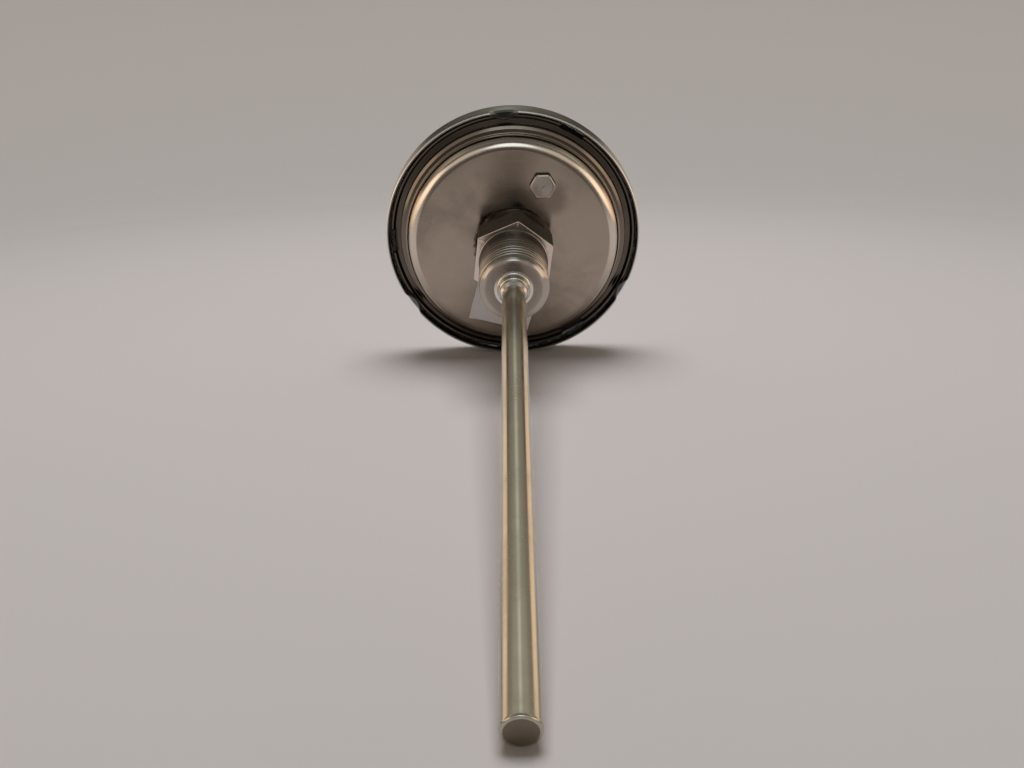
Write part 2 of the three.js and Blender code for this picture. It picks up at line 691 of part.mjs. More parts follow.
function addPointer() {
  const angle = DIAL_ZERO_ANGLE - DEGREES_PER_UNIT * REST_READING;
  const blade = addPiece(group, 'pointer', 'pointer', pointerBlade());
  blade.rotation.y = -THREE.MathUtils.degToRad(angle);
  addPiece(group, 'pointer_hub', 'brass', pointerHub());
}

function addLabel() {
  const sheet = new THREE.BoxGeometry(LABEL.width, LABEL.thickness, LABEL.height);
  const label = addPiece(group, 'rear_label', 'paper', toSolid(sheet));
  label.position.set(LABEL.x, CASE_BACK + GAP + LABEL.thickness / 2, LABEL.z);
  label.rotation.y = -THREE.MathUtils.degToRad(LABEL.turn);
}

addCaseAndWindow();
addConnectionAndStem();
addMovement();
addDial();
addCalibrationTrain();
addPointer();
addLabel();

export default group;
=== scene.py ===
import math

import bmesh
import bpy
import numpy as np
from mathutils import Matrix, Vector


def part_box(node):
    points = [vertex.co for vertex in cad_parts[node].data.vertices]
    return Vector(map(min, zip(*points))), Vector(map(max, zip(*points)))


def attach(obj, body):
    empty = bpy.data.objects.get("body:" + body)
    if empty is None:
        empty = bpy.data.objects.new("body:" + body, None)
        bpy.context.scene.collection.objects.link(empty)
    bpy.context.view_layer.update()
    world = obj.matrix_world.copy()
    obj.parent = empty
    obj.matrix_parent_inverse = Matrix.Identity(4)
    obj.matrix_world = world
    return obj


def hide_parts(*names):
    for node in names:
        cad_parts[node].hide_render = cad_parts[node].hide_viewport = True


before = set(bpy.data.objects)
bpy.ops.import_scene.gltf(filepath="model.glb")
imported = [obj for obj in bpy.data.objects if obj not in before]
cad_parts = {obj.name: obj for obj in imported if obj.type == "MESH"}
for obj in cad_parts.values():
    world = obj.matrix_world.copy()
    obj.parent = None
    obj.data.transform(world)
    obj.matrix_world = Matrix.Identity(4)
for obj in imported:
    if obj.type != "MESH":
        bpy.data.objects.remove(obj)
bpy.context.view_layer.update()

MM = 0.001

# ---------------------------------------------------------------- places, in millimetres

# Angles with "turn" in their names are counter-clockwise from 3 o'clock, seen from the stem side.

HEX_ACROSS_FLATS = 22.225
HEX_BACK = -10.8
HEX_TURN = 82.6
BOSS_RADIUS = 11.3
NECK_RADIUS = 10.2
THREAD_PITCH = 25.4 / 14
THREAD_DEPTH = 1.25
THREAD_TAPER = 1 / 32
THREAD_START = 4.1
THREAD_RADIUS = 10.62
BEVEL_START = (9.9, 18.6)
BEVEL_END = (8.3, 20.1)
BORE_RADIUS = 3.5
SPIGOT = (7.9, -17.9)
NOSE = (5, -22)

STEM_RADIUS = 3.175
STEM_BORE = 2.675
TIP_ROUND = 0.55
PLUG_LENGTH = 6.4

CASE_BACK = -15
SHEET = 0.8
LOCKS = 3
NOTCH_TURN = 61
NOTCH_HALF = 6
NOTCH_FLOOR = 36.8
SCOOP_TURN = 93
SCOOP_HALF = 6.4
SCOOP_DEPTH = 1.9
SCOOP_FRONT = -22.1
BEZEL_REAR_RADIUS = 39.5

DIAL_FRONT = -22.9
INK = 0.03
DIAL_ZERO = 225  # where the pointer shows 0, counter-clockwise from 3 o'clock, seen from the dial side
DEGREES_PER_FAHRENHEIT = 270 / 250
SHOWN_FAHRENHEIT = 70

# Ticks are (every so many, length, width), the longest first. Numbers are (radius, height of the figures).
FAHRENHEIT_ARC = (32.45, 32.65)
FAHRENHEIT_TICK_END = 32.6
FAHRENHEIT_TICKS = ((20, 3.4, 0.42), (10, 2.6, 0.3), (1, 1.5, 0.16))
FAHRENHEIT_NUMBERS = (26.3, 3.9)
CELSIUS_ARC = (21.2, 21.35)
CELSIUS_TICK_END = 21.3
CELSIUS_TICKS = ((20, 2.2, 0.3), (10, 1.6, 0.22), (1, 0.9, 0.14))
CELSIUS_NUMBERS = (17.0, 2.6)

LABEL_SIZE = (19.3, 14.0, 0.12)
LABEL_TILT = -15.7  # degrees, about the Y axis
LABEL_LIFT = 0.9

LAMP_PLACE = (0, -230, 720)
LAMP_AIM = (0, -120, 0)
LAMP_SIZE = (520, 420)
LAMP_WATTS = 4.5

CAMERA_PLACE = (0.0, 263.1, 102.4)
CAMERA_HEADING = 179.77  # degrees clockwise from +Y, seen from above
CAMERA_DIP = 28.51
CAMERA_ROLL = -1.07
CAMERA_LENS = 33.47
CAMERA_SENSOR = 36

# ---------------------------------------------------------------- finishes, and painted light and shade

# Radii between which the case's heat tint and the painted highlights and shade of the case and the bezel
# change.
HEAT_END = (14.1, 14.8)
EDGE_START = (29.5, 30.1)
EDGE_END = (31.5, 32.3)
INNER_STEP = (33.2, 33.7)
OUTER_STEP = (35.1, 35.4)
RING_INSIDE = (38.85, 39.0)
RING_CORNER = (39.1, 39.3)
# Patches of painted shade on the case's back.
CASE_SHADE_PATCHES = ((0, 24, 14, 0.25), (-11.5, 14.5, 7.5, 0.55))  # x, z, reach and amount

HEAT = (0.085, 0.06, 0.045, 1)
# Painted highlight on the case's rounded edge.
EDGE_HIGHLIGHT = (0.86, 0.77, 0.68, 1)
STEP_SHADE = (0.06, 0.05, 0.042, 1)
PATCH_SHADE = (0.12, 0.09, 0.075, 1)
GAP_SHADE = (0.03, 0.028, 0.025, 1)
# Painted highlight on the bezel's rear corner.
REAR_CORNER_HIGHLIGHT = (0.92, 0.91, 0.88, 1)
# Painted shade on the calibration screw's sides.
SMALL_HEX_SIDE_SHADE = (0.09, 0.075, 0.06, 1)
HEX_SIDES = (0.20, 0.185, 0.18, 1)
# End face tone, with painted shade towards its top.
END_FACE_TONE_AND_SHADE = (0.30, 0.255, 0.22, 1)
# Painted sheen on the hex's front face.
HEX_FACE_SHEEN = (0.86, 0.75, 0.67, 1)
# Grime and painted shade in the thread roots, and the neck's own dark tone.
THREAD_GRIME_AND_SHADE = (0.05, 0.040, 0.032, 1)
# Weld heat tint, with painted shade behind the hex.
WELD_TINT_AND_SHADE = (0.065, 0.045, 0.033, 1)

PAPER_NEAR = (0.64, 0.60, 0.59, 1)
PAPER_FURTHER = (0.64, 0.605, 0.59, 1)
PAPER_FAR = (0.66, 0.62, 0.60, 1)
MIRRORED_SHADE = (0.05, 0.04, 0.035, 1)

FLOOR_GLOW = (0.42, 0.39, 0.37, 1)
FAR_PAPER = (0.50, 0.45, 0.41, 1)
WARM_SIDE = (1.10, 0.82, 0.58, 1)
DARK_BAND = (0.075, 0.06, 0.052, 1)
UPPER_BAND = (0.28, 0.255, 0.205, 1)
CEILING = (0.44, 0.415, 0.345, 1)
STRIP_LOW = (0.50, 0.52, 0.43, 1)
STRIP_HIGH = (0.74, 0.75, 0.65, 1)
OVERHEAD = (0.22, 0.22, 0.20, 1)
ONLOOKER = (0.10, 0.092, 0.083, 1)
PALE_WALL = (0.56, 0.49, 0.42, 1)
WINDOW = (1.5, 1.62, 1.66, 1)
WARM_LAMP = (1.4, 1.17, 0.90, 1)
LAMP_COLOUR = (0.98, 0.98, 1.0)
MATT_SHARE = 0.45  # how much of the room's light falls on matt surfaces


def span(node):
    """A CAD node's lowest and highest corners, in millimetres."""
    low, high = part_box(node)
    return low / MM, high / MM


def middle(node):
    low, high = span(node)
    return (low + high) / 2


# ---------------------------------------------------------------- meshes

def rounded(corners):
    """The points of a closed outline of (radius, y, fillet) corners, with each fillet as an arc."""
    points = []
    for i, (radius, y, fillet) in enumerate(corners):
        here = Vector((radius, y))
        before = Vector(corners[i - 1][:2]) - here
        after = Vector(corners[(i + 1) % len(corners)][:2]) - here
        if not fillet:
            points.append(tuple(here))
            continue
        before.normalize()
        after.normalize()
        half = before.angle(after) / 2
        centre = here + (before + after).normalized() * fillet / math.sin(half)
        start = here + before * fillet / math.tan(half) - centre
        end = here + after * fillet / math.tan(half) - centre
        turn = start.angle_signed(end)
        steps = max(2, math.ceil(abs(turn) / math.radians(12)))
        for k in range(steps + 1):
            points.append(tuple(centre + Matrix.Rotation(-turn * k / steps, 2) @ start))
    return points


def turns(count, *extra, start=0.0):
    """Angles once round, in degrees, with the extra ones among them; the last is the first again."""
    even = start + np.arange(count) * 360 / count
    return np.append(np.unique(np.round(np.concatenate([even, *extra]) % 360, 4)), np.nan)


def closed(degrees):
    """The same angles with the closing one filled in."""
    done = degrees.copy()
    done[-1] = done[0] + 360
    return done


def rings(outline, degrees, shape=None):
    """Rings of points round the Y axis, one for each (radius, y); shape may change each point's radius."""
    degrees = closed(degrees)
    outline = np.array([point[:2] for point in outline], float)
    radius = np.repeat(outline[:, :1], len(degrees), 1)
    y = np.repeat(outline[:, 1:], len(degrees), 1)
    if shape:
        radius = shape(radius, y, degrees)
    angle = np.radians(degrees)
    return np.stack([-radius * np.cos(angle), y, radius * np.sin(angle)], -1)


def skin(name, sections, loop, sharp=32):
    """A closed mesh over rings of points; loop joins the last ring to the first."""
    count, around = sections.shape[:2]
    index = np.arange(count * around).reshape(count, around)
    following = np.roll(index, -1, 0)
    if not loop:
        index, following = index[:-1], following[:-1]
    corners = [index[:, :-1], index[:, 1:], following[:, 1:], following[:, :-1]]
    quads = np.stack(corners, -1).reshape(-1, 4)
    mesh = bpy.data.meshes.new(name)
    mesh.from_pydata((sections.reshape(-1, 3) * MM).tolist(), [], quads.tolist())
    return finished(mesh, sharp)


def finished(mesh, sharp=32):
    """Joins what touches, drops empty faces, turns faces outwards and keeps only hard edges sharp."""
    work = bmesh.new()
    work.from_mesh(mesh)
    bmesh.ops.remove_doubles(work, verts=work.verts, dist=1e-3 * MM)
    bmesh.ops.dissolve_degenerate(work, edges=work.edges, dist=1e-4 * MM)
    bmesh.ops.recalc_face_normals(work, faces=work.faces)
    work.to_mesh(mesh)
    work.free()
    mesh.polygons.foreach_set("use_smooth", [True] * len(mesh.polygons))
    mesh.set_sharp_from_angle(angle=math.radians(sharp))
    return mesh


def turned(name, outline, count=128, extra=(), shape=None, sharp=32):
    """A lathe-turned mesh about the Y axis."""
    on_axis = outline[0][0] == 0 and outline[-1][0] == 0
    return skin(name, rings(outline, turns(count, *extra), shape), not on_axis, sharp)


def plate(name, outlines, thickness, edge=0.0):
    """A flat plate in X and Z, facing -Y, from an outline and its holes, with rounded edges."""
    curve = bpy.data.curves.new(name, "CURVE")
    curve.dimensions = "2D"
    curve.fill_mode = "BOTH"
    curve.extrude = (thickness / 2 - edge) * MM
    curve.bevel_depth = edge * MM
    curve.bevel_resolution = 2
    curve.offset = -edge * MM
    for outline in outlines:
        spline = curve.splines.new("POLY")
        spline.points.add(len(outline) - 1)
        for point, (x, z) in zip(spline.points, outline):
            point.co = (x * MM, z * MM, 0, 1)
        spline.use_cyclic_u = True
    mesh = mesh_of(curve)
    mesh.transform(Matrix.Rotation(math.radians(90), 4, "X"))
    return finished(mesh)


def mesh_of(curve):
    """A curve or text turned into a mesh."""
    holder = bpy.data.objects.new(curve.name, curve)
    bpy.context.scene.collection.objects.link(holder)
    scene_state = bpy.context.evaluated_depsgraph_get()
    mesh = bpy.data.meshes.new_from_object(holder.evaluated_get(scene_state))
    bpy.data.objects.remove(holder)
    return mesh


def circle(radius, x=0.0, z=0.0, start=0.0, end=360.0, count=96):
    """Points of a circle or arc in X and Z; a whole circle doesn't repeat its first point."""
    whole = end - start == 360
    angles = np.radians(np.linspace(start, end, count, endpoint=not whole))
    return [(x + radius * math.cos(a), z + radius * math.sin(a)) for a in angles]


def joined(name, meshes):
    """Several meshes as one."""
    work = bmesh.new()
    for mesh in meshes:
        work.from_mesh(mesh)
    whole = bpy.data.meshes.new(name)
    work.to_mesh(whole)
    work.free()
    return whole


def show(mesh, name, body, material, stands_for=(), smooth=True):
    """A finished mesh as a piece of the object."""
    piece = bpy.data.objects.new(name, mesh)
    bpy.context.scene.collection.objects.link(piece)
    piece.data.materials.clear()
    piece.data.materials.append(material)
    if smooth:
        piece.modifiers.new("even_normals", "WEIGHTED_NORMAL").keep_sharp = True
    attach(piece, body)
    if stands_for:
        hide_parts(*stands_for)
    return piece


# ---------------------------------------------------------------- materials

def new_material(name, **values):
    """A material and its Principled shader, with even values set on the shader's own sockets."""
    material = bpy.data.materials.new(name)
    material.use_nodes = True
    shader = material.node_tree.nodes["Principled BSDF"]
    for socket, value in values.items():
        shader.inputs[socket.replace("_", " ")].default_value = value
    return material, shader


def add(tree, kind, inputs=None, **settings):
    """A node whose inputs are values or other nodes' outputs."""
    node = tree.nodes.new("ShaderNode" + kind)
    for key, value in settings.items():
        setattr(node, key, value)
    for key, value in (inputs or {}).items():
        if isinstance(value, bpy.types.NodeSocket):
            tree.links.new(value, node.inputs[key])
        else:
            node.inputs[key].default_value = value
    return node


def math_node(tree, operation, first, second=0.0):
    return add(tree, "Math", {0: first, 1: second}, operation=operation).outputs[0]


def plus(tree, first, second):
    return math_node(tree, "ADD", first, second)


def times(tree, first, second):
    return math_node(tree, "MULTIPLY", first, second)


def span_map(tree, value, low, high, new_low, new_high):
    """A value mapped from one span to another, smoothly, and held inside it."""
    inputs = {"Value": value, "From Min": low, "From Max": high, "To Min": new_low, "To Max": new_high}
    return add(tree, "MapRange", inputs, interpolation_type="SMOOTHSTEP").outputs[0]


def ramp(tree, value, low, high):
    return span_map(tree, value, low, high, 0.0, 1.0)


def fade(tree, place, low, high, new_low=0.0, new_high=1.0):
    """span_map between two places in millimetres."""
    return span_map(tree, place, low * MM, high * MM, new_low, new_high)


def object_place(tree):
    return add(tree, "TexCoord").outputs["Object"]


def side_place(tree, side):
    """How far along one of the object's axes a point lies."""
    return add(tree, "SeparateXYZ", {0: object_place(tree)}).outputs[side]


def noise_at(tree, place, scale, detail=3.0, roughness=0.5, distortion=0.0):
    inputs = {"Vector": place, "Scale": scale, "Detail": detail, "Roughness": roughness}
    inputs["Distortion"] = distortion
    return add(tree, "TexNoise", inputs).outputs["Fac"]


def stretched(tree, place, scale, turn=(0, 0, 0)):
    """The place turned and scaled, for streaks."""
    inputs = {"Vector": place, "Rotation": [math.radians(a) for a in turn], "Scale": scale}
    return add(tree, "Mapping", inputs).outputs[0]


def colour_mix(tree, factor, first, second):
    inputs = {"Factor": factor, 6: first, 7: second}
    return add(tree, "Mix", inputs, data_type="RGBA").outputs[2]


def axis_place(tree, centre=(0, 0, 0)):
    """For an axis along Y: the offset across it, the distance from it and the place along it."""
    place = add(tree, "VectorMath", {0: object_place(tree), 1: centre}, operation="SUBTRACT").outputs[0]
    parts = add(tree, "SeparateXYZ", {0: place}).outputs
    offset = add(tree, "CombineXYZ", {"X": parts["X"], "Z": parts["Z"]}).outputs[0]
    distance = add(tree, "VectorMath", {0: offset}, operation="LENGTH").outputs["Value"]
    return offset, distance, parts["Y"]


def lathe_lines(tree, centre, per_metre):
    """Fine rings round an axis along Y, from 0 to 1, a little broken along their length."""
    lean, wander = 0.37, 1.2
    offset, distance, along = axis_place(tree, centre)
    heading = add(tree, "VectorMath", {0: offset}, operation="NORMALIZE").outputs[0]
    heading = add(tree, "SeparateXYZ", {0: heading}).outputs
    inputs = {"X": times(tree, plus(tree, distance, times(tree, along, lean)), per_metre)}
    inputs["Y"] = times(tree, heading["X"], wander)
    inputs["Z"] = times(tree, heading["Z"], wander)
    place = add(tree, "CombineXYZ", inputs).outputs[0]
    return noise_at(tree, place, 1.0, 2.0, 0.6)


def scratches(tree, turn, lengthwise, crosswise, rarity):
    """Sparse thin marks in one direction, from 0 to 1."""
    place = stretched(tree, object_place(tree), (lengthwise, crosswise, crosswise), turn)
    return ramp(tree, noise_at(tree, place, 1.0, 1.0), rarity, rarity + 0.05)


def linked(tree, shader, colour, rough, height, depth, strength=1.0):
    """Gives a shader its colour, its roughness and a bump, whose depth is in millimetres."""
    tree.links.new(colour, shader.inputs["Base Color"])
    tree.links.new(rough, shader.inputs["Roughness"])
    bump = add(tree, "Bump", {"Height": height, "Strength": strength, "Distance": depth * MM})
    tree.links.new(bump.outputs[0], shader.inputs["Normal"])


def steel(name, tone, dull_tone, roughness, line_gap, line_depth, centre=(0, 0, 0), marks=0.5, tint_and_light=None):
    """Stainless steel: lathe or drawing lines, smudges and hairline scratches. line_gap and line_depth are in
    millimetres. tint_and_light gives the colour with one piece's own tints and its painted light and shade,
    and the roughness that they add."""
    material, shader = new_material(name, Metallic=1.0)
    tree = material.node_tree
    place = object_place(tree)
    smudge = ramp(tree, noise_at(tree, place, 55.0, 4.0, 0.55, 0.6), 0.42, 0.68)
    cloud = noise_at(tree, place, 240.0, 4.0, 0.6)
    lines = lathe_lines(tree, centre, 1 / (line_gap * MM))
    hairs = math_node(
        tree, "MAXIMUM",
        scratches(tree, (0, 35, 0), 22.0, 4600.0, 0.70),
        scratches(tree, (0, -62, 10), 30.0, 5600.0, 0.71),
    )
    hairs = times(tree, hairs, marks)
    colour = colour_mix(tree, smudge, (*tone, 1), (*dull_tone, 1))
    lighter = tuple(min(1.0, c * 1.12) for c in tone)
    colour = colour_mix(tree, span_map(tree, cloud, 0.5, 0.75, 0.0, 0.5), colour, (*lighter, 1))
    worn = 0.0
    if tint_and_light:
        colour, worn = tint_and_light(tree, colour, cloud)
    rough = plus(tree, times(tree, smudge, 0.09), roughness)
    rough = plus(tree, rough, times(tree, lines, 0.08))
    rough = plus(tree, rough, worn)
    rough = plus(tree, rough, times(tree, hairs, 0.15))
    height = math_node(tree, "SUBTRACT", lines, times(tree, hairs, 0.7))
    linked(tree, shader, colour, rough, height, line_depth)
    return material


def case_wear(tree, colour, cloud):
    """The case: a heat tint by the weld, a painted highlight on its rounded edge, weakest at the bottom,
    painted shade on the steps and two patches of painted shade.
    """
    distance = axis_place(tree)[1]
    uneven = plus(tree, distance, times(tree, cloud, 5 * MM))
    colour = colour_mix(tree, fade(tree, uneven, *HEAT_END, 0.85, 0.0), colour, HEAT)
    # Painted highlight on the rounded edge, fading out towards the bottom.
    edge = fade(tree, distance, *EDGE_START, 0.0, 0.85)
    edge = times(tree, edge, fade(tree, distance, *EDGE_END, 1.0, 0.0))
    edge = times(tree, edge, fade(tree, side_place(tree, "Z"), -16, 2, 0.1, 1.0))
    colour = colour_mix(tree, edge, colour, EDGE_HIGHLIGHT)
    # Painted shade on the two steps between the rounded edge and the flange.
    inner_step = fade(tree, distance, *INNER_STEP, 0.0, 0.55)
    outer_step = fade(tree, distance, *OUTER_STEP, 0.0, 0.27)
    colour = colour_mix(tree, plus(tree, inner_step, outer_step), colour, STEP_SHADE)
    # Two soft patches of painted shade: one above the connection, one below the calibration screw.
    for x, z, reach, amount in CASE_SHADE_PATCHES:
        inputs = {0: object_place(tree), 1: (x * MM, CASE_BACK * MM, z * MM)}
        away = add(tree, "VectorMath", inputs, operation="DISTANCE").outputs["Value"]
        away = plus(tree, away, times(tree, cloud, 4 * MM))
        patch = fade(tree, away, 0.3 * reach + 2, reach + 2, amount, 0.0)
        colour = colour_mix(tree, patch, colour, PATCH_SHADE)
    return colour, 0.0


def bezel_wear(tree, colour, cloud):
    """The bezel: painted shade inside, with a painted highlight on the corner of its rear edge."""
    _, distance, along = axis_place(tree)
    # Painted shade inside the ring.
    inside = times(tree, fade(tree, distance, *RING_INSIDE, 0.9, 0.0), fade(tree, along, -28, -27))
    colour = colour_mix(tree, inside, colour, GAP_SHADE)
    # A painted highlight along the corner of the rear edge.
    corner_highlight = times(tree, fade(tree, distance, *RING_CORNER, 0.0, 0.9), fade(tree, along, -20.65, -20.4))
    return colour_mix(tree, corner_highlight, colour, REAR_CORNER_HIGHLIGHT), 0.0


def small_hex_wear(tree, colour, cloud):
    """The calibration screw: painted shade on its sides below its turned end."""
    top = span("calibration_screw")[1].y
    # Painted shade on the hexagon's sides.
    sides = fade(tree, side_place(tree, "Y"), top - 0.3, top - 0.1, 0.85, 0.0)
    return colour_mix(tree, sides, colour, SMALL_HEX_SIDE_SHADE), 0.0


def connection_wear(tree, colour, cloud):
    """The connection: darker hex sides, grime and painted shade in the thread roots, an end face with painted
    shade towards its top, the weld's heat tint deepened by painted shade, and a painted sheen on the hex's
    face.
    """
    _, distance, along = axis_place(tree)
    sides = times(tree, fade(tree, distance, 10.8, 11.0, 0.0, 0.85), fade(tree, along, -0.3, -0.16, 1.0, 0.0))
    colour = colour_mix(tree, sides, colour, HEX_SIDES)
    # A darker tone on the end face, deeper towards the top as painted shade.
    end = times(tree, fade(tree, along, 20.02, 20.08), fade(tree, side_place(tree, "Z"), -7, 8, 0.55, 0.9))
    colour = colour_mix(tree, end, colour, END_FACE_TONE_AND_SHADE)
    # A painted sheen on the hex's front face.
    face = fade(tree, math_node(tree, "ABSOLUTE", along), 0.03, 0.12, 0.9, 0.0)
    colour = colour_mix(tree, face, colour, HEX_FACE_SHEEN)
    # Dark grime and painted shade deep in the thread, and the neck's own dark tone.
    roots = thread_shade(tree)
    colour = colour_mix(tree, roots, colour, THREAD_GRIME_AND_SHADE)
    # The weld's heat tint, deepened into painted shade on the boss behind the hex.
    weld = fade(tree, along, HEX_BACK - 0.05, HEX_BACK + 0.12, 0.92, 0.0)
    return colour_mix(tree, weld, colour, WELD_TINT_AND_SHADE), times(tree, roots, 0.25)


def thread_shade(tree):
    """1 deep in the thread and on the neck, 0 on the crests, the hex and the bevel."""
    _, distance, along = axis_place(tree)
    below = math_node(tree, "SUBTRACT", (THREAD_RADIUS + THREAD_TAPER * THREAD_START) * MM, distance)
    below = math_node(tree, "SUBTRACT", below, times(tree, along, THREAD_TAPER))
    neck = fade(tree, along, THREAD_START, THREAD_START + 1, 0.97, 0.0)
    deep = math_node(tree, "MAXIMUM", fade(tree, below, 0.35, 0.8, 0.0, 0.95), neck)
    threaded = times(tree, fade(tree, along, 0.1, 0.3), fade(tree, along, 18.0, 18.7, 1.0, 0.0))
    return times(tree, deep, threaded)


def plain(name, tone, other_tone, roughness, grain_per_metre, depth, metallic=0.0):
    """A moulded, painted or rolled surface: two close tones, a fine grain and a little wear."""
    material, shader = new_material(name, Metallic=metallic)
    tree = material.node_tree
    place = object_place(tree)
    grain = noise_at(tree, place, grain_per_metre, 5.0, 0.6)
    cloud = ramp(tree, noise_at(tree, place, 90.0, 3.0), 0.4, 0.7)
    colour = colour_mix(tree, cloud, (*tone, 1), (*other_tone, 1))
    rough = plus(tree, times(tree, grain, 0.16), roughness - 0.08)
    linked(tree, shader, colour, rough, grain, depth)
    return material


def paper():
    """Label stock: short fibres and a faint mottle."""
    material, shader = new_material("label_stock")
    tree = material.node_tree
    place = object_place(tree)
    fibres = noise_at(tree, stretched(tree, place, (2500.0, 2500.0, 700.0), (0, 25, 0)), 1.0, 4.0, 0.7)
    mottle = noise_at(tree, place, 350.0, 3.0)
    colour = colour_mix(tree, fibres, (0.66, 0.63, 0.65, 1), (0.80, 0.77, 0.79, 1))
    colour = colour_mix(tree, times(tree, mottle, 0.3), colour, (0.70, 0.66, 0.65, 1))
    linked(tree, shader, colour, plus(tree, times(tree, fibres, 0.1), 0.7), fibres, 0.02, 0.8)
    return material


def window_glass():
    """Clear glass with a faint haze of wiping marks."""
    clear = (0.97, 0.985, 0.98, 1)
    material, shader = new_material("window_pane", Transmission_Weight=1.0, IOR=1.5, Base_Color=clear)
    tree = material.node_tree
    wipes = noise_at(tree, stretched(tree, object_place(tree), (60.0, 60.0, 260.0), (0, 30, 0)), 1.0, 4.0)
    tree.links.new(span_map(tree, wipes, 0.5, 0.8, 0.01, 0.045), shader.inputs["Roughness"])
    return material


CALIBRATION_AXIS = tuple(middle("calibration_screw") * MM)
SATIN = steel("satin_case", (0.42, 0.355, 0.29), (0.34, 0.285, 0.235), 0.14, 0.35, 0.004, tint_and_light=case_wear)
RIM = steel("polished_bezel", (0.28, 0.277, 0.267), (0.22, 0.218, 0.21), 0.2, 0.3, 0.003, tint_and_light=bezel_wear)
TURNED = steel(
    "turned_connection", (0.50, 0.45, 0.40), (0.42, 0.375, 0.33), 0.13, 0.3, 0.02, marks=0.4,
    tint_and_light=connection_wear,
)
COLLAR_STEEL = steel("polished_collar", (0.82, 0.79, 0.74), (0.68, 0.64, 0.58), 0.17, 0.3, 0.008, marks=0.3)
TURNED_SMALL = steel(
    "turned_screw", (0.47, 0.43, 0.38), (0.40, 0.36, 0.315), 0.2, 0.28, 0.012, centre=CALIBRATION_AXIS,
    tint_and_light=small_hex_wear,
)
DRAWN = steel("drawn_tube", (0.58, 0.55, 0.475), (0.52, 0.49, 0.42), 0.15, 0.9, 0.003, marks=0.25)
TIP_STEEL = steel("faced_tip", (0.33, 0.275, 0.225), (0.24, 0.20, 0.16), 0.38, 0.3, 0.006, marks=0.3)
PLAIN_STEEL = plain("stamped_steel", (0.5, 0.49, 0.47), (0.42, 0.41, 0.39), 0.34, 1500.0, 0.003, 1.0)
BRASS = plain("free_cutting_brass", (0.66, 0.47, 0.20), (0.54, 0.37, 0.15), 0.32, 1800.0, 0.004, 1.0)
STRIP = plain("bimetal_strip", (0.50, 0.44, 0.36), (0.38, 0.34, 0.31), 0.4, 2200.0, 0.003, 1.0)
RUBBER = plain("gasket_rubber", (0.018, 0.017, 0.016), (0.03, 0.028, 0.026), 0.72, 1200.0, 0.02)
DIAL_PAINT = plain("dial_enamel", (0.80, 0.79, 0.76), (0.77, 0.76, 0.73), 0.42, 1400.0, 0.004)
BLACK_PAINT = plain("black_enamel", (0.012, 0.012, 0.012), (0.02, 0.02, 0.019), 0.45, 1600.0, 0.005)
BLACK_INK = plain("black_ink", (0.012, 0.012, 0.013), (0.02, 0.02, 0.02), 0.5, 2500.0, 0.002)
RED_INK = plain("red_ink", (0.42, 0.022, 0.018), (0.36, 0.02, 0.018), 0.5, 2500.0, 0.002)
LABEL_STOCK = paper()
PANE = window_glass()


# ---------------------------------------------------------------- case and bezel

def nearest_lock(degrees, first):
    """Degrees from each angle to the nearest of the evenly spaced locks."""
    spacing = 360 / LOCKS
    return (degrees - first + spacing / 2) % spacing - spacing / 2


def lock_angles(first, offsets):
    return np.array([first + 360 / LOCKS * k + offset for k in range(LOCKS) for offset in offsets])


def notched(radius, y, degrees):
    inside = np.abs(nearest_lock(degrees, NOTCH_TURN)) < NOTCH_HALF
    return np.where(inside & (radius > NOTCH_FLOOR), NOTCH_FLOOR, radius)


def case_shell():
    outline = rounded([
        (8.2, CASE_BACK, 0),
        (32.9, CASE_BACK, 3.9),
        (32.9, -20.45, 0.35),
        (34.2, -20.75, 0.3),
        (35.15, -21.3, 0.35),
        (35.15, -23.35, 0.3),
        (36.9, -23.45, 0.3),
        (37.45, -22.3, 0.25),
        (38.2, -22.2, 0.2),
        (38.2, -24.2, 0.15),
        (34.3, -24.2, 0.15),
        (34.3, -21.75, 0.3),
        (32.1, -21.4, 0.4),
        (32.1, CASE_BACK - SHEET, 3.1),
        (8.2, CASE_BACK - SHEET, 0),
    ])
    step = 0.02  # half the width of a notch's wall, in degrees
    edges = lock_angles(NOTCH_TURN, [side * NOTCH_HALF + d for side in (-1, 1) for d in (-step, step)])
    mesh = turned("case", outline, 288, [edges], notched)
    show(mesh, "case", "housing", SATIN, ["case_shell"])


def scooped(radius, y, degrees):
    """Each scoop is pressed in most at the rear edge, and creased where it starts."""
    rear = span("bezel")[1].y
    depth = np.clip((y - SCOOP_FRONT) / (rear - SCOOP_FRONT), 0, 1) ** 0.5
    across = np.clip(np.abs(nearest_lock(degrees, SCOOP_TURN)) / SCOOP_HALF, 0, 1)
    return radius - SCOOP_DEPTH * depth * (0.5 + 0.5 * np.cos(np.pi * across)) ** 0.62


